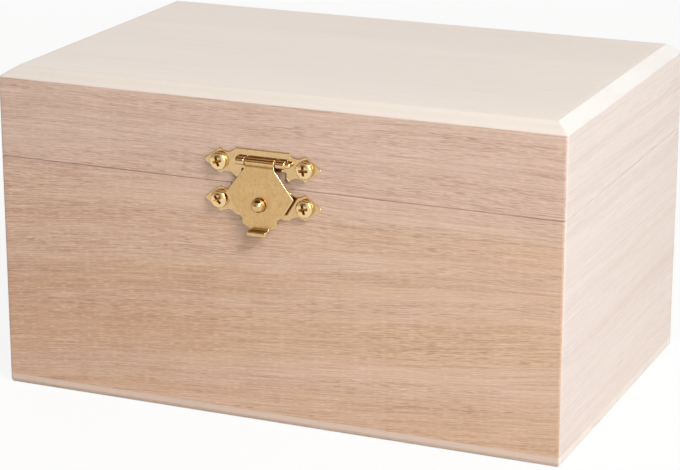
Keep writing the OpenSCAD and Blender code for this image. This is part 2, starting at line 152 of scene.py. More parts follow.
class PanelSettings(bpy.types.PropertyGroup):
    """Sizes and colours of the plywood lid and bottom"""

    corner_round: length("Corner Round", "Radius of the panels' upright corners", 0.8)
    bevel_run: length("Bevel Run", "Distance that the lid's bevel runs in from each side", 3.8)
    bevel_edge: length("Bevel Edge", "Upright edge left under the lid's bevel", 0.2)
    bevel_soft: length("Bevel Softening", "Half the width over which the bevel rounds into the top", 0.35)
    lid_ease: length("Lid Ease", "Width of the eased lower edge of the lid panel", 0.08)
    bottom_ease: length("Bottom Ease", "Width of the eased lower edge of the bottom", 0.8)
    bottom_top: length("Bottom Top Ease", "Width of the eased upper edge of the bottom", 0.06)
    veneer: colour("Veneer", "Face veneer of the lid", "#ede2d8")
    core: colour("Core", "Inner layers of the plywood, seen on its bevels", "#e6dacf")
    # The paler cut ends are painted light, standing for the strong lamp on the right side
    lid_ends: colour("Lid Ends", "Cut ends of the lid's layers at the left and right", "#ebe8e4")
    # The bottom's darker lower layer is partly its own tone and partly painted shade under its eased lower
    # edge
    bottom_veneer: colour("Bottom Veneer", "Upper layer of the bottom", "#d0baab")
    bottom_core: colour("Bottom Core", "Lower layer of the bottom", "#bfa899")
    bottom_ends: colour("Bottom Ends", "Cut ends of the bottom at the left and right", "#e3d9d1")


class ClaspSettings(bpy.types.PropertyGroup):
    """Sizes and colours of the clasp"""

    edge_round: length("Edge Round", "Radius of the tumbled edges of the brass sheet", 0.2)
    corner_round: length("Corner Round", "Radius of the stamped corners", 0.22)
    barb_w: length("Barb Width", "Width of a plate across the barbs of its arrow heads", 22.8)
    barb_h: length("Barb Height", "Height across the barbs of an arrow head", 6.4)
    middle_w: length("Middle Width", "Width of the straight middle of a plate", 13.7)
    scallop: length("Scallop Radius", "Radius of the scallops beside the middle", 2.8)
    cusp: length("Cusp", "Flat left on each side of a scallop", 0.25)
    notch_w: length("Notch Width", "Width of the notch in the lid plate's lower edge", 11.7)
    notch_shift: length("Notch Shift", "Distance of the notch's middle to the right of the plate's", 0.45)
    notch_h: length("Notch Height", "Height of the notch in the lid plate's lower edge", 2.3)
    opening_h: length("Opening Height", "Height of the opening in the lid plate behind the knuckles", 1.8)
    opening_gap: length("Opening Gap", "Gap between a tab and the end of the opening", 0.1)
    tab_w: length("Tab Width", "Width of each rolled tab of the lid plate", 2.4)
    roll: length("Roll Radius", "Middle radius of a rolled knuckle", 0.8)
    crimp: length("Crimp Radius", "Middle radius of the crimp that sets off the hasp's knuckle", 0.35)
    knuckle_w: length("Knuckle Width", "Width of the hasp's knuckle", 7.8)
    knuckle_gap: length("Knuckle Gap", "Gap between the hasp's knuckle and a tab", 0.25)
    shoulder_drop: length("Shoulder Drop", "Depth of the hasp's shoulders below the pin", 1.35)
    shoulder_fillet: length("Shoulder Fillet", "Radius where the knuckle flares into the hasp", 1.6)
    hasp_w: length("Hasp Width", "Width across the hasp's side corners", 18.1)
    hasp_drop: length("Hasp Drop", "Depth of the side corners below the pin", 8.2)
    hip_w: length("Hip Width", "Width across the hips", 12)
    hip_drop: length("Hip Drop", "Depth of the hips below the pin", 13.1)
    hip_scallop: length("Hip Scallop", "Radius of the scallops above the foot", 1.3)
    hip_cusp: length("Hip Cusp", "Flat left on each side of a hip scallop", 0.15)
    foot_w: length("Foot Width", "Width of the foot that carries the pull", 9.1)
    foot_drop: length("Foot Drop", "Depth of the foot's upper corners below the pin", 14.1)
    foot_h: length("Foot Height", "Height of the foot's straight sides", 1.5)
    foot_round: length("Foot Rounding", "Radius of the foot's lower corners", 0.7)
    pull_w: length("Pull Width", "Width of the curled pull", 4.9)
    pull_drop: length("Pull Drop", "Depth below the pin where the pull starts to curl", 16.4)
    pull_curl: length("Pull Curl", "Middle radius of the curled pull", 0.6)
    pull_reach: length("Pull Reach", "Length of the straight part of the pull", 0.8)
    hem_curl: length("Hem Curl", "Middle radius where the pull's edge turns down", 0.35)
    hem_h: length("Hem Height", "Length of the pull's edge that hangs down", 0.7)
    hole_d: length("Hole Diameter", "Diameter of the hole that snaps over the ball", 3.4)
    pin_d: length("Pin Diameter", "Diameter of the clasp's pin", 1)
    pin_dome: length("Pin Dome", "Rise of the dome on the pin's head", 0.6)
    neck_d: length("Neck Diameter", "Diameter of the neck under the ball", 2)
    rivet_d: length("Rivet Diameter", "Diameter of the stud's end in the base plate", 1.5)
    hasp_brass: colour("Hasp Brass", "Satin face of the hasp", "#d8b37d")
    plate_brass: colour("Plate Brass", "Bright face of the plates", "#d6b485")
    # Paler than the plates, partly as painted highlight: the tone stands for the white glint on the pin's
    # head and on the rounded sheet edges
    pin_brass: colour("Pin Brass", "Polished pin and ball", "#e0cb9c")


class HingeSettings(bpy.types.PropertyGroup):
    """Sizes and colours of the back hinges"""

    edge_round: length("Edge Round", "Radius of the tumbled edges of the hinge sheet", 0.12)
    corner_round: length("Corner Round", "Radius of a leaf's free corners", 1.2)
    sheet: length("Sheet", "Thickness of the hinge sheet", 0.7)
    roll: length("Roll Radius", "Middle radius of a hinge knuckle", 1.0)
    middle_knuckle: length("Middle Knuckle", "Length of the lid leaf's knuckle", 7)
    knuckle_gap: length("Knuckle Gap", "Gap between neighbouring knuckles", 0.25)
    leaf_gap: length("Leaf Gap", "Gap between a leaf and the other leaf's knuckles", 0.3)
    pin_d: length("Pin Diameter", "Diameter of the hinge pin", 1.2)
    pin_dome: length("Pin Dome", "Rise of the peened dome on each end of the pin", 0.25)
    screw_pitch: length("Screw Pitch", "Distance between a leaf's two screws", 12)
    screw_rise: length("Screw Rise", "Distance of a leaf's screws from the pin", 5.1)
    brass: colour("Hinge Brass", "Bright face of the leaves", "#d6b67c")


class ScrewSettings(bpy.types.PropertyGroup):
    """Sizes and colour of the screws"""

    round_head_d: length("Round Head", "Diameter of a clasp screw's head", 4.5)
    round_rim: length("Round Rim", "Height of the upright rim of a round head", 0.8)
    round_dome: length("Round Dome", "Rise of the dome above the rim", 0.8)
    round_shank_d: length("Round Shank", "Diameter of a clasp screw's shank", 2)
    flat_head_d: length("Flat Head", "Diameter of a hinge screw's countersunk head", 3)
    flat_shank_d: length("Flat Shank", "Diameter of a hinge screw's shank", 1.6)
    flat_dome: length("Flat Dome", "Slight crown of a countersunk head", 0.04)
    shank_l: length("Shank Length", "Length of the shank under the head", 5.2)
    point_l: length("Point Length", "Length of the screw's point", 1.2)
    point_d: length("Point Diameter", "Diameter left at the end of the point", 0.4)
    slot_l: length("Slot Length", "Length of the cross slot's arms, end to end", 2.6)
    slot_w: length("Slot Width", "Width of the cross slot's arms", 0.72)
    round_slot: length("Round Slot Depth", "Depth of the slot in a round head", 0.95)
    flat_slot: length("Flat Slot Depth", "Depth of the slot in a flat head", 0.45)
    brass: colour("Screw Brass", "Yellow plated screws", "#ecd09c")
    # The slot brass is darker as painted shade in the deep recess of the cross
    slot_brass: colour("Slot Brass", "Dull grimy brass inside the cross slots", "#b5843f")


class StageSettings(bpy.types.PropertyGroup):
    """Camera, lights and floor"""

    camera_place: FloatVectorProperty(
        name="Camera Place", description="Where the camera stands", default=(0.2388, -0.5605, 0.221),
        subtype="TRANSLATION", unit="LENGTH",
    )
    camera_turn: angle("Camera Turn", "Turn of the camera about the vertical", 23.27)
    camera_dip: angle("Camera Dip", "Angle of the camera below the horizon", 16.94)
    lens: FloatProperty(name="Lens", description="Focal length", default=128.64, min=1, unit="CAMERA")
    key_power: power("Key", "Power of the lamp high on the right", 14)
    fill_power: power("Fill", "Power of the lamp in front", 0.95)
    rim_power: power("Rim", "Power of the lamp behind", 2.4)
    sky: FloatProperty(
        name="Sky", description="Strength of the soft light from all round", default=0.34, min=0
    )
    floor: colour("Floor", "Pale studio floor", "#f4f2ef")
    flag: colour("Flag", "Dark cloth that the brass reflects", "#5a4433")
    drape: colour("Drape", "Paler cloth in front and at the left that the brass reflects", "#d2bea6")


def add_node(tree, kind, inputs=(), out=0, **settings):
    """Adds a node with its properties, sets or links its inputs by name or number, and gives an output."""
    made = tree.nodes.new(kind)
    for key, value in settings.items():
        setattr(made, key, value)
    for key, value in (inputs if isinstance(inputs, dict) else dict(enumerate(inputs))).items():
        for item in value if isinstance(value, list) else [value]:
            if isinstance(item, bpy.types.NodeSocket):
                tree.links.new(item, made.inputs[key])
            else:
                made.inputs[key].default_value = item
    return made if out is None else made.outputs[out]


def new_material(name):
    """Empty material with its tree and its object coordinates."""
    material = bpy.data.materials.new(name)
    material.use_nodes = True
    tree = material.node_tree
    tree.nodes.clear()
    return material, tree, add_node(tree, "ShaderNodeTexCoord", out="Object")


def surface(tree, inputs):
    """Puts the surface shader and the material's output on a tree."""
    shader = add_node(tree, "ShaderNodeBsdfPrincipled", inputs)
    add_node(tree, "ShaderNodeOutputMaterial", [shader], out=None)


def streaks(tree, place, run, width, detail, seed, low, high, least=0.0, most=1.0):
    """Noise with a run along the first axis and a width across it: least below low, most above high."""
    stretched = add_node(
        tree, "ShaderNodeMapping",
        {"Vector": place, "Location": (seed, seed, seed), "Scale": (1 / run, 1 / width, 1 / width)},
    )
    noise = add_node(
        tree, "ShaderNodeTexNoise", {"Vector": stretched, "Scale": 1.0, "Detail": detail}, out="Fac"
    )
    return add_node(
        tree, "ShaderNodeMapRange",
        {"Value": noise, "From Min": low, "From Max": high, "To Min": least, "To Max": most},
        interpolation_type="SMOOTHSTEP",
    )


def overlaid(tree, base, layers):
    """Colour of a base with other colours laid over it in turn, each by its own share."""
    for tone, share in layers:
        base = add_node(tree, "ShaderNodeMix", {0: share, 6: base, 7: tone}, out=2, data_type="RGBA")
    return base


def shade(rgba, factor):
    """Colour made darker or lighter by a factor."""
    return (*[min(c * factor, 1) for c in rgba[:3]], 1)


def sanded_meranti(name, settings, tones, quarter_turn, climb, stretch, fine, broad):
    """Light meranti, sawn and sanded bare: straight fine grain, short open pores, and dull soft gloss."""
    pink, tan, deep, pore = tones
    material, tree, place = new_material(name)
    turned = add_node(tree, "ShaderNodeMapping", {"Vector": place, "Rotation": (0, 0, quarter_turn)})
    spot = add_node(tree, "ShaderNodeSeparateXYZ", [turned], out=None).outputs
    # Grain lines wander by a millimetre or so, and climb to the right below the seam
    drift = 1.2 * MM
    wander = streaks(tree, turned, 70 * MM, 24 * MM, 1.0, 0.0, 0, 1, -drift, drift)
    climb_end = SEAM_Z - settings.climb_depth
    slope = add_node(
        tree, "ShaderNodeMapRange",
        {"Value": spot["Z"], "From Min": SEAM_Z, "From Max": climb_end, "To Max": -climb},
        interpolation_type="SMOOTHSTEP",
    )
    lift = add_node(tree, "ShaderNodeMath", [spot["X"], slope, wander], operation="MULTIPLY_ADD")
    shift = add_node(tree, "ShaderNodeCombineXYZ", {"Z": lift})
    grain = add_node(tree, "ShaderNodeVectorMath", [turned, shift], operation="ADD")
    # Heartwood turns from pink to tan below the seam; the deeper tone towards the left is painted shade,
    # darker away from the lamp on the right
    level = add_node(tree, "ShaderNodeSeparateXYZ", [grain], out="Z")
    most_share = 0.95
    tone, depth = [
        add_node(
            tree, "ShaderNodeMapRange",
            {"Value": value, "From Min": start, "From Max": end, "To Max": most_share},
            interpolation_type="SMOOTHSTEP",
        )
        for value, start, end in (
            (level, SEAM_Z + 4 * MM, SEAM_Z - 14 * MM),
            (spot["X"], BOX_HIGH.x / 2, BOX_LOW.x),
        )
    ]
    deep_and_shade = add_node(tree, "ShaderNodeMath", [tone, depth], operation="MULTIPLY")

    def grain_streaks(run, width, detail, seed, low, high, most):
        """Streaks that follow the grain up to a greatest share, with a run that grows with the stretch."""
        return streaks(tree, grain, run * stretch, width, detail, seed, low, high, most=most)

    # Pores and flecks come near the fifth of a millimetre that real vessels measure
    rows = grain_streaks(60 * MM, 4 * MM, 1.0, 9.4, 0.35, 0.65, 0.33 * fine)
    dashes = grain_streaks(settings.pore_length, settings.pore_width, 0.0, 8.2, 0.56, 0.68, 1.0)
    pores = add_node(tree, "ShaderNodeMath", [rows, dashes], operation="MULTIPLY")
    lines = grain_streaks(50 * MM, 0.7 * MM, 2.0, 5.1, 0.4, 0.7, 0.16 * fine)
    mixed = overlaid(tree, pink, (
        (tan, tone),
        # Painted shade: the deep tone darkens the lower boards towards the left
        (deep, deep_and_shade),
        (shade(pink, 1.06), grain_streaks(240 * MM, 9 * MM, 1.0, 3.7, 0.4, 0.66, 0.4)),
        (pore, grain_streaks(200 * MM, settings.ring_width, 2.0, 1.3, 0.4, 0.72, broad)),
        (pore, lines),
        (pore, grain_streaks(18 * MM, 0.18 * MM, 1.0, 2.6, 0.4, 0.7, 0.26 * fine)),
        (shade(pink, 1.3), grain_streaks(12 * MM, 0.17 * MM, 1.0, 6.4, 0.5, 0.72, 0.4 * fine)),
        (shade(pink, 1.3), grain_streaks(1.8 * MM, 0.16 * MM, 0.0, 4.9, 0.5, 0.7, 0.28 * fine)),
        (pore, pores),
    ))
    relief = add_node(tree, "ShaderNodeMath", [lines, pores], operation="SUBTRACT")
    bump = add_node(tree, "ShaderNodeBump", {"Height": relief, "Strength": 0.5, "Distance": 0.06 * MM})
    rough = add_node(tree, "ShaderNodeMapRange", {"Value": pores, "To Min": 0.58, "To Max": 0.78})
    surface(tree, {"Base Color": mixed, "Roughness": rough, "Normal": bump, "Specular IOR Level": 0.28})
    return material


def sanded_plywood(name, veneer, layers, ends, low, high, end_run):
    """Pale basswood plywood, sanded bare: faint straight grain, with the layers showing on its bevels."""
    material, tree, place = new_material(name)
    height = add_node(tree, "ShaderNodeSeparateXYZ", [place], out="Z")
    level = add_node(tree, "ShaderNodeMapRange", {"Value": height, "From Min": low, "From Max": high})
    ramp = add_node(tree, "ShaderNodeValToRGB", {"Fac": level}, out=None)
    stops = ramp.color_ramp.elements
    stops[0].position, stops[0].color = layers[0]
    stops[1].position, stops[1].color = layers[-1]
    for stop, tone in layers[1:-1]:
        stops.new(stop).color = tone
    fine = streaks(tree, place, 22 * MM, 0.7 * MM, 2.0, 4.6, 0.35, 0.7, most=0.14)
    # The cut ends at the left and right are paler than the long edges: painted light that stands for the
    # strong lamp on the right
    folded = add_node(tree, "ShaderNodeVectorMath", [place], operation="ABSOLUTE")
    away = add_node(tree, "ShaderNodeSeparateXYZ", [folded], out=None).outputs
    past_long = add_node(tree, "ShaderNodeMath", [away["X"], away["Y"]], operation="SUBTRACT")
    mitre, blur = BOX_HIGH.x - BOX_HIGH.y, 0.05 * MM
    on_end = add_node(
        tree, "ShaderNodeMapRange",
        {"Value": past_long, "From Min": mitre - blur, "From Max": mitre + blur},
    )
    near_end = add_node(
        tree, "ShaderNodeMapRange",
        {"Value": away["X"], "From Min": BOX_HIGH.x - end_run, "From Max": BOX_HIGH.x - 0.9 * end_run},
    )
    end_share = add_node(tree, "ShaderNodeMath", [on_end, near_end], operation="MULTIPLY")
    mixed = overlaid(tree, ramp.outputs["Color"], (
        (ends, end_share),
        (shade(veneer, 0.9), streaks(tree, place, 180 * MM, 14 * MM, 2.0, 2.2, 0.3, 0.7, most=0.25)),
        (shade(veneer, 0.84), fine),
        (shade(veneer, 0.6), streaks(tree, place, 3 * MM, 0.3 * MM, 1.0, 7.5, 0.6, 0.72, most=0.12)),
    ))
    bump = add_node(tree, "ShaderNodeBump", {"Height": fine, "Strength": 0.4, "Distance": 0.06 * MM})
    rough = streaks(tree, place, 40 * MM, 6 * MM, 1.0, 5.8, 0.3, 0.7, 0.6, 0.7)
    surface(tree, {"Base Color": mixed, "Roughness": rough, "Normal": bump, "Specular IOR Level": 0.25})
    return material


# Least and most roughness, depth of the brush marks and strength of the clouds, by finish
FINISHES = {
    "bright_plated_brass": (0.05, 0.1, 0.04, 0.3),
    "satin_brushed_brass": (0.3, 0.42, 0.2, 0.4),
    "polished_turned_brass": (0.05, 0.1, 0.02, 0.1),
    "bright_hinge_brass": (0.18, 0.28, 0.08, 0.2),
    "polished_hinge_pin": (0.1, 0.16, 0.02, 0.1),
    "yellow_plated_screw": (0.16, 0.24, 0.06, 0.15),
    # Painted shade: darker, duller brass inside the cross slots
    "grimy_slot_brass": (0.4, 0.5, 0.1, 0.3),
}


def brass(finish, tone, rubbed=None):
    """Brass-plated sheet or turned brass: metal lustre over fine brush marks and a faint cloudiness."""
    least_rough, most_rough, brush_depth, cloud = FINISHES[finish]
    material, tree, place = new_material(finish)
    upright = add_node(tree, "ShaderNodeMapping", {"Vector": place, "Rotation": (0, math.pi / 2, 0)})
    # Real brush marks are a few hundredths of a millimetre wide; these are coarser so that they show
    brush = streaks(tree, upright, 6 * MM, 0.12 * MM, 2.0, 1.9, 0.3, 0.7)
    mixed = overlaid(tree, tone, (
        (shade(tone, 1.2), streaks(tree, upright, 3.4 * MM, 1.5 * MM, 3.0, 7.7, 0.42, 0.66, most=cloud)),
        (shade(tone, 0.62), streaks(tree, upright, 0.7 * MM, 0.5 * MM, 3.0, 3.3, 0.45, 0.75, most=cloud)),
        (shade(tone, 0.8), streaks(tree, upright, 6 * MM, 0.16 * MM, 2.0, 5.2, 0.4, 0.7, most=0.5 * cloud)),
    ))
    bump = add_node(
        tree, "ShaderNodeBump", {"Height": brush, "Strength": brush_depth, "Distance": 0.02 * MM}
    )
    rough = add_node(
        tree, "ShaderNodeMapRange", {"Value": brush, "To Min": least_rough, "To Max": most_rough}
    )
    if rubbed:
        # Rolled ends are rubbed brighter than the flat between them
        middle_z, reach = rubbed
        fade, least = 0.4 * MM, 0.3
        height = add_node(tree, "ShaderNodeSeparateXYZ", [place], out="Z")
        above = add_node(tree, "ShaderNodeMath", [height, middle_z], operation="SUBTRACT")
        away = add_node(tree, "ShaderNodeMath", [above], operation="ABSOLUTE")
        kept = add_node(
            tree, "ShaderNodeMapRange",
            {"Value": away, "From Min": reach - fade, "From Max": reach, "To Min": 1.0, "To Max": least},
        )
        rough = add_node(tree, "ShaderNodeMath", [rough, kept], operation="MULTIPLY")
    surface(tree, {"Base Color": mixed, "Roughness": rough, "Normal": bump, "Metallic": 1.0})
    return material


def stand_in(node, kind, mesh, *materials):
    """Makes a mesh the visible piece for a CAD node, on that node's body and with its material slot."""
    piece = bpy.data.objects.new(f"{node}_{kind}", mesh)
    for material in materials:
        mesh.materials.append(material)
    bpy.context.scene.collection.objects.link(piece)
    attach(piece, BODY_OF[node])
    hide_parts(node)
    return piece


# Angle past which an edge is a real corner, and least upward part of a flat face's normal
CREASE = math.radians(32)
FLAT = 0.999

# Distances within which points are merged and are the same, and longest short side of a rounding's faces
MERGE = 0.002 * MM
SAME = 0.0001 * MM
ROUNDING_STEP = 0.6 * MM

# Numbers of steps in a small arc, a full turn, a ball and a bend
ARC_STEPS = 6
TURN_STEPS = 48
BALL_STEPS = 20
BEND_STEPS = 72


def crease(bm, plain):
    """Smooth shading, but sharp at real corners and where a plain flat face meets a rounding."""
    for face in bm.faces:
        face.smooth = True
    for edge in bm.edges:
        if len(edge.link_faces) == 2:
            first, second = edge.link_faces
            edge.smooth = plain(first) == plain(second) and edge.calc_face_angle() < CREASE


def to_mesh(bm, name):
    """Closed mesh from a bmesh, with its faces pointing outwards."""
    bmesh.ops.recalc_face_normals(bm, faces=bm.faces)
    mesh = bpy.data.meshes.new(name)
    bm.to_mesh(mesh)
    bm.free()
    return mesh


def loft(rings):
    """Closed shell through rings of as many points each, capped at both ends."""
    bm = bmesh.new()
    rows = [[bm.verts.new(point) for point in ring] for ring in rings]
    for lower, upper in zip(rows, rows[1:]):
        for i in range(len(lower)):
            bm.faces.new((lower[i - 1], lower[i], upper[i], upper[i - 1]))
    bm.faces.new(rows[0])
    bm.faces.new(rows[-1])
    bmesh.ops.remove_doubles(bm, verts=bm.verts, dist=SAME)
    bmesh.ops.recalc_face_normals(bm, faces=bm.faces)
    # A four-sided face with a short side belongs to a rounding
    crease(bm, lambda face: (
        len(face.verts) > 4 or min(edge.calc_length() for edge in face.edges) > ROUNDING_STEP
    ))
    return bm


def arc(centre, radius, start, end, steps):
    """Points on an arc from one angle to another, both in degrees and both included."""
    angles = [math.radians(start + (end - start) * i / steps) for i in range(steps + 1)]
    return [Vector((centre[0] + radius * math.cos(a), centre[1] + radius * math.sin(a))) for a in angles]


def quarter_round(radius, steps, drop=0.0):
    """Insets and drops of an eased edge, from the side face up to the end face."""
    return [
        (radius * (1 - math.cos(a)), drop + radius * (1 - math.sin(a)))
        for a in [math.pi / 2 * i / steps for i in range(steps + 1)]
    ]


# Outward direction of each board, as quarter turns from the front
BOARD_TURNS = {"front": 0, "right": 1, "back": 2, "left": 3}


def mitred_board(side, low_z, high_z, settings, low_edge, high_edge):
    """Board mitred at both ends, each with half an eased corner, from insets and drops of its edges."""
    long_side = side in ("front", "back")
    half, face = (BOX_HIGH.x, BOX_HIGH.y) if long_side else (BOX_HIGH.y, BOX_HIGH.x)
    round_r = settings.corner_round
    turn = Matrix.Rotation(BOARD_TURNS[side] * math.pi / 2, 3, "Z")

    def ring(z, inset):
        """Points round the board at a height."""
        outer = [
            *arc((round_r - half, round_r - face), round_r - inset, 225, 270, ARC_STEPS),
            *arc((half - round_r, round_r - face), round_r - inset, 270, 315, ARC_STEPS),
        ]
        reach = WALL - min(inset, settings.edge_round)
        inner = [Vector((half - reach, reach - face)), Vector((reach - half, reach - face))]
        return [turn @ Vector((p.x, p.y, z)) for p in outer + inner]

    rings = [ring(low_z + drop, inset) for inset, drop in reversed(low_edge)]
    rings += [ring(high_z - drop, inset) for inset, drop in high_edge]
    return loft(rings)


def panel(low_z, profile, corner_round):
    """Panel over the whole plan of the box, from insets and heights above its lower face."""
    least_round = 0.12 * MM

    def ring(inset, height):
        """Points round the panel at a height."""
        x, y = BOX_HIGH.x - inset, BOX_HIGH.y - inset
        r = max(corner_round - inset, least_round)
        points = []
        for sx, sy, start in ((1, -1, 270), (1, 1, 0), (-1, 1, 90), (-1, -1, 180)):
            points += arc((sx * (x - r), sy * (y - r)), r, start, start + 90, ARC_STEPS)
        return [Vector((p.x, p.y, low_z + height)) for p in points]

    return loft([ring(inset, height) for inset, height in profile])


def eased_corner(before, corner, after, radius):
    """Points that round a corner of an outline with a radius."""
    back, ahead = (before - corner).normalized(), (after - corner).normalized()
    half = back.angle(ahead) / 2
    # Less than half of each side, so that the roundings of neighbouring corners don't meet
    most = 0.45
    reach = min(radius / math.tan(half), (before - corner).length * most, (after - corner).length * most)
    first, last = corner + back * reach, corner + ahead * reach
    centre = corner + (back + ahead).normalized() * reach / math.cos(half)
    points = []
    for i in range(ARC_STEPS + 1):
        spoke = (first - centre).lerp(last - centre, i / ARC_STEPS).normalized()
        points.append(centre + spoke * (first - centre).length)
    return points


def outline(points):
    """Closed outline from corners given as a point and the radius that rounds it."""
    loop = []
    for i, (corner, radius) in enumerate(points):
        before, after = points[i - 1][0], points[(i + 1) % len(points)][0]
        loop += eased_corner(before, corner, after, radius) if radius > 0 else [corner]
    return loop


def scallop(start, end, radius, flat):
    """Points of a round bite in the edge from start to end, with a flat left at both ends."""
    along = (end - start).normalized()
    out = Vector((along.y, -along.x))
    half = (end - start).length / 2 - flat
    centre = (start + end) / 2 + out * math.sqrt(radius * radius - half * half)
    swing = math.degrees(math.asin(half / radius))
    facing = math.degrees(math.atan2(-out.y, -out.x))
    return [(point, 0) for point in arc(centre, radius, facing + swing, facing - swing, 2 * ARC_STEPS)]


def both_sides(right):
    """Corners of a whole outline from those of its right half, listed from bottom to top."""
    return right + [(Vector((-point.x, point.y)), radius) for point, radius in reversed(right)]


def ring_hole(x, y, diameter):
    """Round hole in a blank."""
    return arc((x, y), diameter / 2, 0, -360, TURN_STEPS)[:-1]


def box_loop(left, right, first_y, last_y):
    """Corners of a rectangle, started at its left end on the first height."""
    return [Vector(point) for point in ((left, first_y), (right, first_y), (right, last_y), (left, last_y))]


def stamped_blank(loop, holes, thickness, edge_round):
    """Flat sheet with rounded edges, centred in thickness on the plane z = 0."""
    curve = bpy.data.curves.new("blank", "CURVE")
    curve.dimensions = "2D"
    curve.fill_mode = "BOTH"
    # Drawn in millimetres, because the fill of a curve merges points that lie very close together
    curve.extrude = (thickness / 2 - edge_round) / MM
    curve.bevel_depth = edge_round / MM
    curve.bevel_resolution = 2
    curve.offset = -edge_round / MM
    for points in (loop, *holes):
        spline = curve.splines.new("POLY")
        spline.points.add(len(points) - 1)
        spline.use_cyclic_u = True
        for knot, point in zip(spline.points, points):
            knot.co = (point.x / MM, point.y / MM, 0, 1)
    holder = bpy.data.objects.new("blank", curve)
    flat = bpy.data.meshes.new_from_object(holder)
    bm = bmesh.new()
    bm.from_mesh(flat)
    bmesh.ops.remove_doubles(bm, verts=bm.verts, dist=MERGE / MM)
    bmesh.ops.scale(bm, vec=(MM, MM, MM), verts=bm.verts)
    bm.normal_update()
    crease(bm, lambda face: abs(face.normal.z) > FLAT)
    for face in bm.faces:
        face.material_index = 0 if abs(face.normal.z) > FLAT else 1
    bpy.data.objects.remove(holder)
    bpy.data.curves.remove(curve)
    bpy.data.meshes.remove(flat)
    return bm


def path_length(path):
    """Length of sheet that a bending path of (length, turn) takes up."""
    return sum(run for run, turn in path)


def along_path(path, distance):
    """Point and heading after a distance along runs of (length, turn), starting at 0 with heading 0."""
    point, heading = Vector((0, 0)), 0.0
    for run, turn in path:
        part = min(distance, run)
        swing = turn * part / run
        if turn == 0:
            point += Vector((math.cos(heading), math.sin(heading))) * part
        else:
            radius = run / turn
            point += radius * Vector((
                math.sin(heading + swing) - math.sin(heading),
                math.cos(heading) - math.cos(heading + swing),
            ))
        heading += swing
        distance -= part
        if distance <= 0:
            break
    return point, heading


def bent(bm, start, down, path):
    """Bends the part of an upright blank past a height, along a path of runs and turns."""
    reach = path_length(path)
    step = -1 if down else 1
    for i in range(BEND_STEPS + 1):
        bmesh.ops.bisect_plane(
            bm, geom=bm.verts[:] + bm.edges[:] + bm.faces[:], dist=SAME,
            plane_co=(0, start + step * reach * i / BEND_STEPS, 0), plane_no=(0, 1, 0),
        )
    for vert in bm.verts:
        past = (vert.co.y - start) * step
        if past > 0:
            point, heading = along_path(path, past)
            out = Vector((-math.sin(heading), math.cos(heading))) * vert.co.z
            vert.co.y = start + step * (point.x + out.x)
            vert.co.z = point.y + out.y


def arc_run(radius, degrees):
    """Run along an arc and its turn, for a bending path."""
    return (radius * math.radians(abs(degrees)), math.radians(degrees))


def straight_run(distance):
    """Straight run of a bending path."""
    return (distance, 0)


def joggle(distance, step):
    """Two opposite turns of a bending path that step the sheet forwards over a straight distance."""
    lean = 2 * math.atan(step / distance)
    half = distance / 2 * lean / math.sin(lean)
    return [(half, lean), (half, -lean)]


def one_shell(parts):
    """One closed shell from blanks that cut into each other, which it frees."""
    holders = []
    for bm in parts:
        holder = bpy.data.objects.new("blank", to_mesh(bm, "blank"))
        bpy.context.scene.collection.objects.link(holder)
        holders.append(holder)
    for other in holders[1:]:
        join = holders[0].modifiers.new("join", "BOOLEAN")
        join.operation = "UNION"
        join.solver = "EXACT"
        join.object = other
    joined = holders[0].evaluated_get(bpy.context.evaluated_depsgraph_get())
    whole = bpy.data.meshes.new_from_object(joined)
    bm = bmesh.new()
    bm.from_mesh(whole)
    bmesh.ops.remove_doubles(bm, verts=bm.verts, dist=MERGE)
    for edge in bm.edges:
        edge.smooth = edge.smooth and edge.calc_face_angle(0) < CREASE
    for mesh in (whole, *[holder.data for holder in holders]):
        bpy.data.meshes.remove(mesh)
    return bm


def tipped(x, y, z, axis):
    """Matrix that tips a shape by a quarter turn about an axis and then moves it to a place."""
    return Matrix.Translation((x, y, z)) @ Matrix.Rotation(math.pi / 2, 4, axis)


def on_front(bm, x, z, off):
    """Stands a blank in front of the box, with its middle plane at a distance off the wood."""
    bmesh.ops.transform(bm, verts=bm.verts, matrix=tipped(x, FRONT_Y - off, z, "X"))
    return bm


def on_back(bm, x, z, off):
    """Stands a blank behind the box, with its middle plane at a distance off the wood."""
    turn = Matrix.Rotation(math.pi, 4, "Z") @ Matrix.Rotation(math.pi / 2, 4, "X")
    bmesh.ops.transform(bm, verts=bm.verts, matrix=Matrix.Translation((x, BACK_Y + off, z)) @ turn)
    return bm


def plate_half(settings):
    """Corners of the right half of a clasp plate, from bottom to top, with a radius each."""
    size = extent("clasp_base_plate")
    corner = Vector((settings.middle_w / 2, size.z / 2))
    barb = Vector((settings.barb_w / 2, settings.barb_h / 2))
    tip = Vector((size.x / 2, 0))
    r = settings.corner_round
    low_corner, low_barb = Vector((corner.x, -corner.y)), Vector((barb.x, -barb.y))
    return [
        (low_corner, r), *scallop(low_corner, low_barb, settings.scallop, settings.cusp), (low_barb, r),
        (tip, 2 * r),
        (barb, r), *scallop(barb, corner, settings.scallop, settings.cusp), (corner, r),
    ]


def screw_holes(node, diameter):
    """Holes of a plate for the screws of a node, in the plate's own coordinates."""
    half = (extent(node).x - bpy.context.scene.box_screws.round_head_d) / 2
    return [ring_hole(side * half, 0, diameter) for side in (-1, 1)]


def base_plate(settings, shank_d):
    """Base plate: a flat blank with its two screw holes."""
    holes = screw_holes("clasp_base_screws", shank_d)
    bm = stamped_blank(outline(both_sides(plate_half(settings))), holes, SHEET, settings.edge_round)
    return on_front(bm, CLASP_X, middle("clasp_base_plate").z, SHEET / 2)


# Angles through which a knuckle is rolled, the hasp's is undercut and the pull is curled, in degrees
ROLL_TURN = 295
UNDERCUT = 35
PULL_TURN = 105


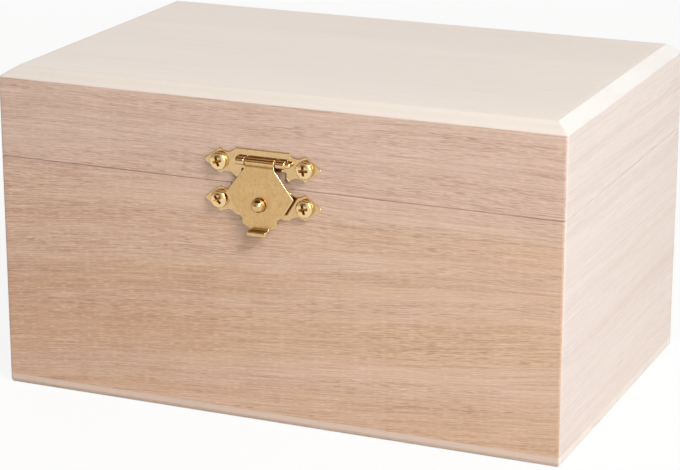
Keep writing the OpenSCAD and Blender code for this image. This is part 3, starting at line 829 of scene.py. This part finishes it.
def lid_plate(settings, shank_d):
    """Lid plate: a blank with a notch and an opening, and two tabs that are rolled round the pin."""
    line_z = middle("clasp_lid_screws").z
    low_y = -extent("clasp_base_plate").z / 2
    notch = Vector((settings.notch_w / 2, low_y + settings.notch_h))
    shift = Vector((settings.notch_shift, 0))
    pin_y = PIN_Z - line_z
    inner = settings.knuckle_w / 2 + settings.knuckle_gap
    outer = inner + settings.tab_w
    opening = box_loop(
        -outer - settings.opening_gap, outer + settings.opening_gap,
        pin_y + settings.opening_h / 2, pin_y - settings.opening_h / 2,
    )
    cut = both_sides([(notch, settings.corner_round), (Vector((notch.x, low_y)), 0)])
    cut = [(point + shift, radius) for point, radius in cut]
    edge = [*cut[:2], *both_sides(plate_half(settings)), *cut[2:]]
    holes = [opening, *screw_holes("clasp_lid_screws", shank_d)]
    plate = stamped_blank(outline(edge), holes, SHEET, settings.edge_round)
    root_y = notch.y + settings.edge_round
    path = [*joggle(pin_y - root_y, PIN_OFF - settings.roll - SHEET / 2), arc_run(settings.roll, ROLL_TURN)]
    end_y = root_y + path_length(path)
    tabs = []
    for left in (-outer, inner):
        strip = box_loop(left, left + settings.tab_w, root_y, end_y)
        tab = stamped_blank(strip, [], SHEET, settings.edge_round)
        bent(tab, root_y, False, path)
        tabs.append(tab)
    return on_front(one_shell([plate, *tabs]), CLASP_X, line_z, SHEET / 2)


def hasp(settings):
    """Hasp: one blank whose top is rolled into the knuckle and whose foot is curled into the pull."""
    r = settings.corner_round
    half = settings.knuckle_w / 2
    # The sheet dips back below the knuckle, and then leans forwards into the roll
    crimp, lean = settings.crimp, math.radians(UNDERCUT)
    dip = math.acos((1 + math.cos(lean) - settings.roll / crimp * (1 - math.cos(lean))) / 2)
    bend = [
        (crimp * dip, -dip), (crimp * (dip + lean), dip + lean),
        arc_run(settings.roll, -UNDERCUT - ROLL_TURN),
    ]
    bend_y = -(settings.roll + crimp) * math.sin(lean) - 2 * crimp * math.sin(dip)
    curl = [
        arc_run(settings.pull_curl, PULL_TURN), straight_run(settings.pull_reach),
        arc_run(settings.hem_curl, -PULL_TURN), straight_run(settings.hem_h),
    ]
    hip = Vector((settings.hip_w / 2, -settings.hip_drop))
    foot = Vector((settings.foot_w / 2, -settings.foot_drop))
    right = [
        (Vector((settings.pull_w / 2, -settings.pull_drop - path_length(curl))), r),
        (Vector((settings.pull_w / 2, -settings.pull_drop)), r),
        (foot - Vector((0, settings.foot_h)), settings.foot_round),
        (foot, r),
        *scallop(foot, hip, settings.hip_scallop, settings.hip_cusp),
        (hip, r),
        (Vector((settings.hasp_w / 2, -settings.hasp_drop)), r),
        (Vector((half, -settings.shoulder_drop)), settings.shoulder_fillet),
        (Vector((half, bend_y + path_length(bend))), 0),
    ]
    ball_drop = PIN_Z - middle("clasp_stud").z
    holes = [ring_hole(0, -ball_drop, settings.hole_d)]
    bm = stamped_blank(outline(both_sides(right)), holes, SHEET, settings.edge_round)
    bent(bm, bend_y, False, bend)
    bent(bm, -settings.pull_drop, True, curl)
    return on_front(bm, CLASP_X, PIN_Z, PIN_OFF + settings.roll)


def turned(profile, place):
    """Solid of revolution from radii and heights, listed from one pole to the other, placed by a matrix."""
    bm = bmesh.new()
    rows = []
    for radius, height in profile:
        angles = [2 * math.pi * i / TURN_STEPS for i in range(TURN_STEPS)] if radius > 0 else [0]
        ring = [Vector((radius * math.cos(a), radius * math.sin(a), height)) for a in angles]
        rows.append([bm.verts.new(place @ point) for point in ring])
    for lower, upper in zip(rows, rows[1:]):
        for i in range(TURN_STEPS):
            corners = [lower[i - 1], lower[i]] if len(lower) > 1 else lower
            bm.faces.new([*corners, *([upper[i], upper[i - 1]] if len(upper) > 1 else upper)])
    bmesh.ops.recalc_face_normals(bm, faces=bm.faces)
    crease(bm, lambda face: False)
    return bm


def dome_profile(radius, rise, base):
    """Radii and heights of a spherical cap from its rim to its pole."""
    ball = (radius * radius + rise * rise) / (2 * rise)
    angles = [math.asin(min(radius / ball, 1)) * (1 - i / ARC_STEPS) for i in range(ARC_STEPS)]
    cap = [(ball * math.sin(a), base + rise - ball + ball * math.cos(a)) for a in angles]
    return cap + [(0, base + rise)]


class BoardsOperator(bpy.types.Operator):
    """Makes the eight mitred boards of the base and the lid"""

    bl_idname = "keepsake.boards"
    bl_label = "Boards"

    def execute(self, context):
        settings = context.scene.box_boards
        dark = (settings.pink, settings.tan, settings.deep, settings.pore)
        # Paler tones of the side boards: partly the wood, partly painted light of the strong lamp on the
        # right
        pale = (settings.pale_pink, settings.pale_tan, settings.pale_deep, settings.pale_pore)
        long_wood = sanded_meranti(
            "sanded_meranti_long", settings, dark,
            quarter_turn=0, climb=settings.climb, stretch=1.0, fine=1.12, broad=0.12,
        )
        side_wood = sanded_meranti(
            "sanded_meranti_side", settings, pale,
            quarter_turn=math.pi / 2, climb=0.0, stretch=2.4, fine=0.5, broad=0.2,
        )
        plain = quarter_round(settings.edge_round, steps=2)
        seam = quarter_round(settings.seam_lip, steps=3, drop=settings.seam_kerf)
        seam += [(settings.seam_depth, settings.seam_kerf), (settings.seam_depth, 0)]
        for side in BOARD_TURNS:
            wood = long_wood if side in ("front", "back") else side_wood
            for part, low_edge, high_edge in (("base", plain, seam), ("lid", seam, plain)):
                node = f"{part}_{side}"
                low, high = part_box(node)
                bm = mitred_board(side, low.z, high.z, settings, low_edge, high_edge)
                stand_in(node, "board", to_mesh(bm, node), wood)
        return {"FINISHED"}


class PanelsOperator(bpy.types.Operator):
    """Makes the plywood lid panel and bottom panel"""

    bl_idname = "keepsake.panels"
    bl_label = "Panels"

    def execute(self, context):
        settings = context.scene.box_panels
        # Colours of the layers by their share of the height, from the lower face to the upper
        core, band = settings.core, shade(settings.core, 0.97)
        layers = [(0, band), (0.3, core), (0.36, band), (0.62, band), (0.7, core), (0.96, core)]
        layers.append((1, settings.veneer))
        self.make(
            "lid", settings, self.bevelled, settings.veneer, layers, settings.lid_ends, settings.bevel_run
        )
        # The lower layer is darker, partly its own tone and partly painted shade; its darkest rim is
        # painted shade where the eased edge turns under
        upper, lower = settings.bottom_veneer, settings.bottom_core
        layers = [(0, shade(lower, 0.75)), (0.12, lower), (0.42, lower), (0.48, upper), (1, upper)]
        self.make(
            "bottom", settings, self.eased, upper, layers, settings.bottom_ends, settings.corner_round
        )
        return {"FINISHED"}

    def make(self, part, settings, profile, veneer, layers, ends, end_run):
        """Panel of a part, from a function for its profile and the colours of its layers and cut ends."""
        node = f"{part}_panel"
        low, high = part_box(node)
        ply = sanded_plywood(f"sanded_plywood_{part}", veneer, layers, ends, low.z, high.z, end_run)
        bm = panel(low.z, profile(settings, high.z - low.z), settings.corner_round)
        stand_in(node, "plywood", to_mesh(bm, node), ply)

    def bevelled(self, settings, rise):
        """Insets and heights of the lid panel, whose bevel rounds softly into its top."""
        soft, ease = settings.bevel_soft, settings.lid_ease
        slope = (rise - settings.bevel_edge) / settings.bevel_run
        profile = [(ease, 0), (0, ease), (0, settings.bevel_edge)]
        for share in (0.25, 0.5, 0.75, 1):
            inset = settings.bevel_run - soft * (1 - share)
            height = settings.bevel_edge + slope * inset - soft * slope * share * share / 2
            profile.append((inset + soft * share, height))
        return [*profile, (settings.bevel_run + 2 * soft, rise)]

    def eased(self, settings, rise):
        """Insets and heights of the bottom panel, whose lower edge is rounded over."""
        ease, top = settings.bottom_ease, settings.bottom_top
        profile = [(ease, 0), (ease * 0.55, ease * 0.12), (ease * 0.2, ease * 0.42), (0, ease)]
        return [*profile, (0, rise - top), (top, rise)]


class ClaspOperator(bpy.types.Operator):
    """Makes the clasp's two plates, its hasp, its pin and its ball stud"""

    bl_idname = "keepsake.clasp"
    bl_label = "Clasp"

    def execute(self, context):
        settings = context.scene.box_clasp
        shank_d = context.scene.box_screws.round_shank_d
        flat = settings.pull_drop / 2
        bright = brass("bright_plated_brass", settings.plate_brass)
        satin = brass("satin_brushed_brass", settings.hasp_brass, rubbed=(PIN_Z - flat, flat))
        # The polished brass, on the pin and the sheets' rounded edges, is paler partly as painted highlight
        polished = brass("polished_turned_brass", settings.pin_brass)
        for node, bm, face in (
            ("clasp_base_plate", base_plate(settings, shank_d), bright),
            ("clasp_lid_plate", lid_plate(settings, shank_d), bright),
            ("clasp_hasp", hasp(settings), satin),
        ):
            stand_in(node, "brass", to_mesh(bm, node), face, polished)
        self.pin(settings, polished)
        self.stud(settings, bright)
        return {"FINISHED"}

    def pin(self, settings, polished):
        """Pin with a domed head at the right and a peened end at the left."""
        low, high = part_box("clasp_pin")
        end = settings.knuckle_w / 2 + settings.knuckle_gap + settings.tab_w
        head_r, pin_r = (high.z - low.z) / 2, settings.pin_d / 2
        neck = high.x - CLASP_X - settings.pin_dome
        profile = [(r, -h) for r, h in reversed(dome_profile(pin_r, CLASP_X - end - low.x, end))]
        profile += [(pin_r, end), (head_r, end), *dome_profile(head_r, settings.pin_dome, neck)]
        place = tipped(CLASP_X, FRONT_Y - PIN_OFF, PIN_Z, "Y")
        stand_in("clasp_pin", "brass", to_mesh(turned(profile, place), "clasp_pin"), polished)

    def stud(self, settings, bright):
        """Ball on a neck, riveted in the base plate."""
        low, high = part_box("clasp_stud")
        ball_r = (high.z - low.z) / 2
        ball_off = FRONT_Y - low.y - ball_r
        neck_r, tail_r = settings.neck_d / 2, settings.rivet_d / 2
        swing = math.pi - math.asin(neck_r / ball_r)
        angles = [swing * (1 - i / BALL_STEPS) for i in range(BALL_STEPS)]
        ball = [(ball_r * math.sin(a), ball_off + ball_r * math.cos(a)) for a in angles]
        profile = [(0, 0), (tail_r, 0), (tail_r, SHEET), (neck_r, SHEET), *ball, (0, ball_off + ball_r)]
        place = tipped(CLASP_X, FRONT_Y, middle("clasp_stud").z, "X")
        stand_in("clasp_stud", "brass", to_mesh(turned(profile, place), "clasp_stud"), bright)


class HingesOperator(bpy.types.Operator):
    """Makes the leaves and pins of the two back hinges"""

    bl_idname = "keepsake.hinges"
    bl_label = "Hinges"

    def execute(self, context):
        settings = context.scene.box_hinges
        bright = brass("bright_hinge_brass", settings.brass)
        polished = brass("polished_hinge_pin", settings.brass)
        for side in ("left", "right"):
            middle_x = middle(f"hinge_{side}_pin").x
            for part in ("base", "lid"):
                node = f"hinge_{side}_{part}_leaf"
                bm = self.leaf(settings, context.scene.box_screws, part, middle_x, extent(node).x)
                stand_in(node, "brass", to_mesh(bm, node), bright, polished)
            node = f"hinge_{side}_pin"
            half = extent(f"hinge_{side}_base_leaf").x / 2
            peened = dome_profile(settings.pin_d / 2, settings.pin_dome, half)
            profile = [(r, -h) for r, h in reversed(peened)] + peened
            place = tipped(middle_x, BACK_Y + HINGE_OFF, SEAM_Z, "Y")
            stand_in(node, "brass", to_mesh(turned(profile, place), node), polished)
        return {"FINISHED"}

    def leaf(self, settings, screws, part, middle_x, leaf_l):
        """Leaf stamped flat, its tabs joggled off the wood and rolled round the pin."""
        half = leaf_l / 2
        knuckle = settings.middle_knuckle / 2
        outer_r = settings.roll + settings.sheet / 2
        start = outer_r + settings.leaf_gap
        top = max(abs(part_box(f"hinge_left_{part}_leaf")[i].z - SEAM_Z) for i in (0, 1))
        step = HINGE_OFF - settings.roll - settings.sheet / 2
        path = [*joggle(start, step), arc_run(settings.roll, ROLL_TURN)]
        end = start - path_length(path)
        if part == "lid":
            spans = [(-knuckle, knuckle)]
        else:
            spans = [(-half, -knuckle - settings.knuckle_gap), (knuckle + settings.knuckle_gap, half)]
        corners = both_sides([(Vector((half, start)), 0), (Vector((half, top)), settings.corner_round)])
        for left, right in spans:
            for x, y in ((left, start), (left, end), (right, end), (right, start)):
                if abs(x) < half or y == end:
                    corners.append((Vector((x, y)), 0))
        holes = [
            ring_hole(side * settings.screw_pitch / 2, settings.screw_rise, screws.flat_head_d)
            for side in (-1, 1)
        ]
        bm = stamped_blank(outline(corners), holes, settings.sheet, settings.edge_round)
        bent(bm, start, True, path)
        if part == "base":
            bmesh.ops.scale(bm, vec=(1, -1, 1), verts=bm.verts)
        return on_back(bm, middle_x, SEAM_Z, settings.sheet / 2)


# Sides of a screw's head and shank, and rings of faces in the top of its head
HEAD_SIDES = 56
SHANK_SIDES = 24
HEAD_RINGS = 14

# Power that flattens the dome, share of an arm left at the slot's floor, and the cut's rise past the head
DOME_POWER = 2.4
SLOT_TAPER = 0.55
SLOT_CLEAR = 0.02 * MM

# Turn of each clasp screw's slot, left then right, and from one hinge screw to the next, in degrees
SLOT_TURNS = {"clasp_lid_screws": (20, 5), "clasp_base_screws": (40, 14)}
HINGE_SLOT_TURN = 37


def screw_tree():
    """Geometry nodes for a cross-slot wood screw on every point, turned by the point's facing."""
    tree = bpy.data.node_groups.new("cross_slot_screws", "GeometryNodeTree")
    face = tree.interface
    face.new_socket("Geometry", in_out="INPUT", socket_type="NodeSocketGeometry")
    for name in (
        "Head Radius", "Seat Radius", "Rim Height", "Dome Rise", "Shank Radius", "Shank Length",
        "Point Radius", "Point Length", "Slot Reach", "Slot Slimness", "Slot Depth",
    ):
        face.new_socket(name, in_out="INPUT", socket_type="NodeSocketFloat")
    for name in ("Material", "Slot Material"):
        face.new_socket(name, in_out="INPUT", socket_type="NodeSocketMaterial")
    face.new_socket("Geometry", in_out="OUTPUT", socket_type="NodeSocketGeometry")
    size = add_node(tree, "NodeGroupInput", out=None).outputs
    head = add_node(
        tree, "GeometryNodeMeshCone",
        {"Vertices": HEAD_SIDES, "Fill Segments": HEAD_RINGS, "Radius Top": size["Head Radius"],
         "Radius Bottom": size["Seat Radius"], "Depth": size["Rim Height"]},
        out=None, fill_type="TRIANGLE_FAN",
    ).outputs
    # The top of the head swells like a flattened dome that leaves the rim upright
    spot = add_node(tree, "GeometryNodeInputPosition")
    flat = add_node(tree, "ShaderNodeVectorMath", [spot, (1, 1, 0)], operation="MULTIPLY")
    away = add_node(tree, "ShaderNodeVectorMath", [flat], out="Value", operation="LENGTH")
    share = add_node(
        tree, "ShaderNodeMath", [away, size["Head Radius"]], operation="DIVIDE", use_clamp=True
    )
    raised = add_node(tree, "ShaderNodeMath", [share, DOME_POWER], operation="POWER")
    left = add_node(tree, "ShaderNodeMath", [1.0, raised], operation="SUBTRACT", use_clamp=True)
    swell = add_node(tree, "ShaderNodeMath", [left], operation="SQRT")
    crown = add_node(tree, "ShaderNodeMath", [swell, size["Dome Rise"]], operation="MULTIPLY")
    domed = add_node(
        tree, "GeometryNodeSetPosition",
        {"Geometry": head["Mesh"], "Selection": head["Top"],
         "Offset": add_node(tree, "ShaderNodeCombineXYZ", {"Z": crown})},
    )
    # The shank reaches half way up the rim, so that it joins the head
    end_z = add_node(tree, "ShaderNodeMath", [size["Shank Length"], -1.0], operation="MULTIPLY")
    point_z = add_node(tree, "ShaderNodeMath", [end_z, size["Point Length"]], operation="ADD")
    joint_z = add_node(tree, "ShaderNodeMath", [size["Rim Height"], 0.5], operation="MULTIPLY")
    straight = add_node(tree, "ShaderNodeMath", [joint_z, point_z], operation="SUBTRACT")
    solids = [domed]
    for bottom, depth, low_z in (
        (size["Shank Radius"], straight, point_z),
        (size["Point Radius"], size["Point Length"], end_z),
    ):
        bar = add_node(
            tree, "GeometryNodeMeshCone",
            {"Vertices": SHANK_SIDES, "Radius Top": size["Shank Radius"], "Radius Bottom": bottom,
             "Depth": depth},
        )
        place = add_node(tree, "ShaderNodeCombineXYZ", {"Z": low_z})
        solids.append(add_node(tree, "GeometryNodeTransform", {"Geometry": bar, "Translation": place}))
    solid = add_node(tree, "GeometryNodeMeshBoolean", {"Mesh 2": solids}, operation="UNION", solver="EXACT")
    # Each arm of the cross slot narrows with depth
    narrow = add_node(tree, "ShaderNodeMath", [size["Slot Reach"], SLOT_TAPER], operation="MULTIPLY")
    wedge = add_node(
        tree, "GeometryNodeMeshCone",
        {"Vertices": 4, "Radius Top": size["Slot Reach"], "Radius Bottom": narrow,
         "Depth": size["Slot Depth"]},
    )
    # The slot's faces take a darker material, painted shade in the recess
    shaded = add_node(
        tree, "GeometryNodeSetMaterial", {"Geometry": wedge, "Material": size["Slot Material"]}
    )
    square = add_node(tree, "GeometryNodeTransform", {"Geometry": shaded, "Rotation": (0, 0, math.pi / 4)})
    top_z = add_node(tree, "ShaderNodeMath", [size["Rim Height"], size["Dome Rise"]], operation="ADD")
    slot_z = add_node(tree, "ShaderNodeMath", [top_z, size["Slot Depth"]], operation="SUBTRACT")
    clear_z = add_node(tree, "ShaderNodeMath", [slot_z, SLOT_CLEAR], operation="ADD")
    sunk = add_node(tree, "ShaderNodeCombineXYZ", {"Z": clear_z})
    arms = []
    for slim in ((1.0, size["Slot Slimness"]), (size["Slot Slimness"], 1.0)):
        scale = add_node(tree, "ShaderNodeCombineXYZ", [*slim, 1.0])
        arms.append(add_node(
            tree, "GeometryNodeTransform", {"Geometry": square, "Translation": sunk, "Scale": scale}
        ))
    cut = add_node(
        tree, "GeometryNodeMeshBoolean", {"Mesh 1": solid, "Mesh 2": arms},
        operation="DIFFERENCE", solver="EXACT",
    )
    facing = add_node(tree, "GeometryNodeInputNamedAttribute", {"Name": "facing"}, data_type="FLOAT_VECTOR")
    spread = add_node(
        tree, "GeometryNodeInstanceOnPoints",
        {"Points": size["Geometry"], "Instance": cut, "Rotation": facing},
    )
    real = add_node(tree, "GeometryNodeRealizeInstances", [spread])
    in_slot = add_node(tree, "GeometryNodeMaterialSelection", [size["Slot Material"]])
    plain = add_node(tree, "FunctionNodeBooleanMath", [in_slot], operation="NOT")
    dressed = add_node(
        tree, "GeometryNodeSetMaterial",
        {"Geometry": real, "Selection": plain, "Material": size["Material"]},
    )
    add_node(tree, "NodeGroupOutput", [dressed], out=None)
    return tree


class ScrewsOperator(bpy.types.Operator):
    """Makes the round-head screws of the clasp and the countersunk screws of the hinges"""

    bl_idname = "keepsake.screws"
    bl_label = "Screws"

    def execute(self, context):
        settings = context.scene.box_screws
        hinges = context.scene.box_hinges
        tree = screw_tree()
        yellow = brass("yellow_plated_screw", settings.brass)
        # The slots' darker brass is painted shade in the recess
        shaded = brass("grimy_slot_brass", settings.slot_brass)
        round_sizes = {
            "Head Radius": settings.round_head_d / 2, "Seat Radius": settings.round_head_d / 2,
            "Rim Height": settings.round_rim, "Dome Rise": settings.round_dome,
            "Shank Radius": settings.round_shank_d / 2, "Slot Depth": settings.round_slot,
        }
        flat_sizes = {
            "Head Radius": settings.flat_head_d / 2, "Seat Radius": settings.flat_shank_d / 2,
            "Rim Height": hinges.sheet, "Dome Rise": settings.flat_dome,
            "Shank Radius": settings.flat_shank_d / 2, "Slot Depth": settings.flat_slot,
        }
        shared = {
            "Shank Length": settings.shank_l, "Point Length": settings.point_l,
            "Point Radius": settings.point_d / 2, "Slot Reach": settings.slot_l * math.sqrt(0.5),
            "Slot Slimness": settings.slot_w / settings.slot_l, "Material": yellow, "Slot Material": shaded,
        }
        for node, turns in SLOT_TURNS.items():
            half = (extent(node).x - settings.round_head_d) / 2
            spots = [
                (Vector((CLASP_X + side * half, FRONT_Y - SHEET, middle(node).z)), (90, -turn, 0))
                for side, turn in zip((-1, 1), turns)
            ]
            self.make(node, spots, tree, {**shared, **round_sizes})
        for node, up in (("hinge_base_screws", -1), ("hinge_lid_screws", 1)):
            spots = []
            for side in ("left", "right"):
                for end in (-1, 1):
                    x = middle(f"hinge_{side}_pin").x + end * hinges.screw_pitch / 2
                    spot = Vector((x, BACK_Y, SEAM_Z + up * hinges.screw_rise))
                    spots.append((spot, (-90, HINGE_SLOT_TURN * len(spots), 0)))
            self.make(node, spots, tree, {**shared, **flat_sizes})
        return {"FINISHED"}

    def make(self, node, spots, tree, values):
        """Puts a screw on every spot, as one plain mesh."""
        points = bpy.data.meshes.new(f"{node}_spots")
        points.from_pydata([spot for spot, facing in spots], [], [])
        attribute = points.attributes.new("facing", "FLOAT_VECTOR", "POINT")
        for item, (spot, facing) in zip(attribute.data, spots):
            item.vector = [math.radians(angle) for angle in facing]
        holder = bpy.data.objects.new(f"{node}_spots", points)
        bpy.context.scene.collection.objects.link(holder)
        modifier = holder.modifiers.new("screws", "NODES")
        modifier.node_group = tree
        for socket in tree.interface.items_tree:
            if socket.in_out == "INPUT" and socket.name in values:
                modifier[socket.identifier] = values[socket.name]
        evaluated = holder.evaluated_get(bpy.context.evaluated_depsgraph_get())
        mesh = bpy.data.meshes.new_from_object(evaluated)
        if len(mesh.polygons) == 0:
            raise RuntimeError(f"{node}: the screw tree made nothing")
        bpy.data.objects.remove(holder)
        bpy.data.meshes.remove(points)
        bm = bmesh.new()
        bm.from_mesh(mesh)
        bmesh.ops.remove_doubles(bm, verts=bm.verts, dist=MERGE)
        crease(bm, lambda face: False)
        bm.to_mesh(mesh)
        bm.free()
        # The cut leaves an empty slot in front, from before the head had its material
        while mesh.materials[0] is None:
            mesh.materials.pop(index=0)
        stand_in(node, "brass", mesh)


# Place, aim and width of each lamp
LAMPS = {
    "key": ((0.85, -0.58, 0.93), (0.02, -0.02, 0.05), 0.4),
    "fill": ((0.45, -0.5, 0.26), (0, 0, 0.04), 0.3),
    "rim": ((-0.7, 0.8, 0.5), (0, 0, 0.05), 0.7),
}

# Two opposite corners of the floor and of each cloth, and the share of plain white in the floor
FLOOR_CORNERS = ((-3, -3, 0), (3, 3, 0))
FLAG_CORNERS = {
    "front_flag": ((-1.9, -2.4, 0.25), (-0.5, -2.4, 0.95)),
    "top_flag": ((-1.6, -1.0, 1.5), (1.4, 1.2, 1.5)),
    "back_flag": ((-3, 1.8, 0.1), (3, 1.8, 1.4)),
}
DRAPE_CORNERS = {
    "front_drape": ((-2.6, -2.5, 0.02), (0.1, -2.5, 2)),
    "left_drape": ((-2.6, 0.6, 0.02), (-2.6, -2.5, 2)),
    "top_drape": ((-2.6, -2.5, 2), (0.1, 1.2, 2)),
}
FLOOR_WHITE = 0.86


class StageOperator(bpy.types.Operator):
    """Makes the floor, the white surroundings, the lamps, the cloths in the reflections and the camera"""

    bl_idname = "keepsake.stage"
    bl_label = "Stage"

    def execute(self, context):
        scene = context.scene
        settings = scene.box_stage
        scene.view_settings.view_transform = "Standard"
        self.floor(settings)
        self.sky(scene, settings)
        for name, (place, target, width) in LAMPS.items():
            self.lamp(name, place, target, width, getattr(settings, f"{name}_power"))
        self.cloths("dark_flag_cloth", settings.flag, FLAG_CORNERS)
        self.cloths("pale_drape_cloth", settings.drape, DRAPE_CORNERS)
        camera = bpy.data.objects.new("camera", bpy.data.cameras.new("camera"))
        camera.data.sensor_width = 36
        camera.data.lens = settings.lens
        camera.data.clip_start = 0.01
        camera.location = settings.camera_place
        camera.rotation_euler = (math.pi / 2 - settings.camera_dip, 0, settings.camera_turn)
        scene.collection.objects.link(camera)
        scene.camera = camera
        return {"FINISHED"}

    def seen(self, tree):
        """1 for rays that show the surroundings, straight or in metal and glass."""
        path = add_node(tree, "ShaderNodeLightPath", out=None).outputs
        first = add_node(
            tree, "ShaderNodeMath", [path["Is Camera Ray"], path["Is Glossy Ray"]], operation="MAXIMUM"
        )
        return add_node(tree, "ShaderNodeMath", [first, path["Is Transmission Ray"]], operation="MAXIMUM")

    def sheet(self, name, first, last, material):
        """Flat sheet of the stage, level or upright, between two opposite corners."""
        if first[2] == last[2]:
            second, fourth = (last[0], first[1], first[2]), (first[0], last[1], first[2])
        else:
            second, fourth = (last[0], last[1], first[2]), (first[0], first[1], last[2])
        corners = (first, second, last, fourth)
        mesh = bpy.data.meshes.new(name)
        mesh.from_pydata(corners, [], [range(len(corners))])
        mesh.materials.append(material)
        sheet = bpy.data.objects.new(name, mesh)
        bpy.context.scene.collection.objects.link(sheet)
        return sheet

    def floor(self, settings):
        """Pale floor that keeps the box's shadow and is otherwise white to the eye."""
        material, tree, place = new_material("pale_studio_floor")
        mottle = streaks(tree, place, 0.3, 0.3, 2.0, 0.0, 0, 1)
        tone = overlaid(tree, settings.floor, [(shade(settings.floor, 0.98), mottle)])
        matt = add_node(tree, "ShaderNodeBsdfDiffuse", {"Color": tone})
        white = add_node(tree, "ShaderNodeEmission", {"Color": (1, 1, 1, 1), "Strength": 1.0})
        share = add_node(tree, "ShaderNodeMath", [self.seen(tree), FLOOR_WHITE], operation="MULTIPLY")
        both = add_node(tree, "ShaderNodeMixShader", [share, matt, white])
        add_node(tree, "ShaderNodeOutputMaterial", [both], out=None)
        self.sheet("floor", *FLOOR_CORNERS, material)

    def cloths(self, kind, tone, places):
        """Cloths of a kind outside the picture, which are seen only in reflections."""
        material = self.cloth(kind, tone)
        for name, (first, last) in places.items():
            cloth = self.sheet(name, first, last, material)
            cloth.visible_camera = False
            cloth.visible_diffuse = False
            cloth.visible_transmission = False
            cloth.visible_shadow = False

    def cloth(self, name, tone):
        """Plain woven studio cloth: its own softly mottled tone, whatever light falls on it."""
        material, tree, place = new_material(name)
        weave = streaks(tree, place, 4 * MM, 4 * MM, 1.0, 0.0, 0.3, 0.7)
        mottled = overlaid(tree, tone, [(shade(tone, 0.8), weave)])
        glow = add_node(tree, "ShaderNodeEmission", {"Color": mottled, "Strength": 1.0})
        add_node(tree, "ShaderNodeOutputMaterial", [glow], out=None)
        return material

    def sky(self, scene, settings):
        """Soft light from all round, white where it is seen."""
        world = bpy.data.worlds.new("studio")
        world.use_nodes = True
        tree = world.node_tree
        tree.nodes.clear()
        light = add_node(tree, "ShaderNodeBackground", {"Color": (1, 1, 1, 1), "Strength": settings.sky})
        white = add_node(tree, "ShaderNodeBackground", {"Color": (1, 1, 1, 1), "Strength": 1.0})
        both = add_node(tree, "ShaderNodeMixShader", [self.seen(tree), light, white])
        add_node(tree, "ShaderNodeOutputWorld", [both], out=None)
        scene.world = world

    def lamp(self, name, place, target, size, power):
        """Square soft lamp aimed at a point of the box."""
        data = bpy.data.lights.new(name, "AREA")
        data.size = size
        data.energy = power
        lamp = bpy.data.objects.new(name, data)
        lamp.location = place
        lamp.rotation_euler = (Vector(target) - Vector(place)).to_track_quat("-Z", "Y").to_euler()
        bpy.context.scene.collection.objects.link(lamp)


STEPS = (BoardsOperator, PanelsOperator, ClaspOperator, HingesOperator, ScrewsOperator, StageOperator)
GROUPS = {
    "box_boards": BoardSettings, "box_panels": PanelSettings, "box_clasp": ClaspSettings,
    "box_hinges": HingeSettings, "box_screws": ScrewSettings, "box_stage": StageSettings,
}


class KeepsakePanel(bpy.types.Panel):
    """Sidebar panel with the box's settings and steps"""

    bl_idname = "KEEPSAKE_PT_looks"
    bl_label = "Keepsake Box"
    bl_space_type = "VIEW_3D"
    bl_region_type = "UI"
    bl_category = "Keepsake Box"

    def draw(self, context):
        """Lists each step with its settings."""
        for step, attribute in zip(STEPS, GROUPS):
            box = self.layout.box()
            box.operator(step.bl_idname)
            for name in GROUPS[attribute].__annotations__:
                box.prop(getattr(context.scene, attribute), name)


CLASSES = (*GROUPS.values(), *STEPS, KeepsakePanel)


def register():
    """Registers the classes and puts the settings on the scene."""
    for item in CLASSES:
        bpy.utils.register_class(item)
    for attribute, group in GROUPS.items():
        setattr(bpy.types.Scene, attribute, PointerProperty(type=group))


def unregister():
    """Takes the settings off the scene and unregisters the classes."""
    for attribute in GROUPS:
        delattr(bpy.types.Scene, attribute)
    for item in reversed(CLASSES):
        bpy.utils.unregister_class(item)


def main():
    """Builds the looks in order."""
    register()
    bpy.ops.keepsake.boards()
    bpy.ops.keepsake.panels()
    bpy.ops.keepsake.clasp()
    bpy.ops.keepsake.hinges()
    bpy.ops.keepsake.screws()
    bpy.ops.keepsake.stage()


if __name__ == "__main__":
    main()
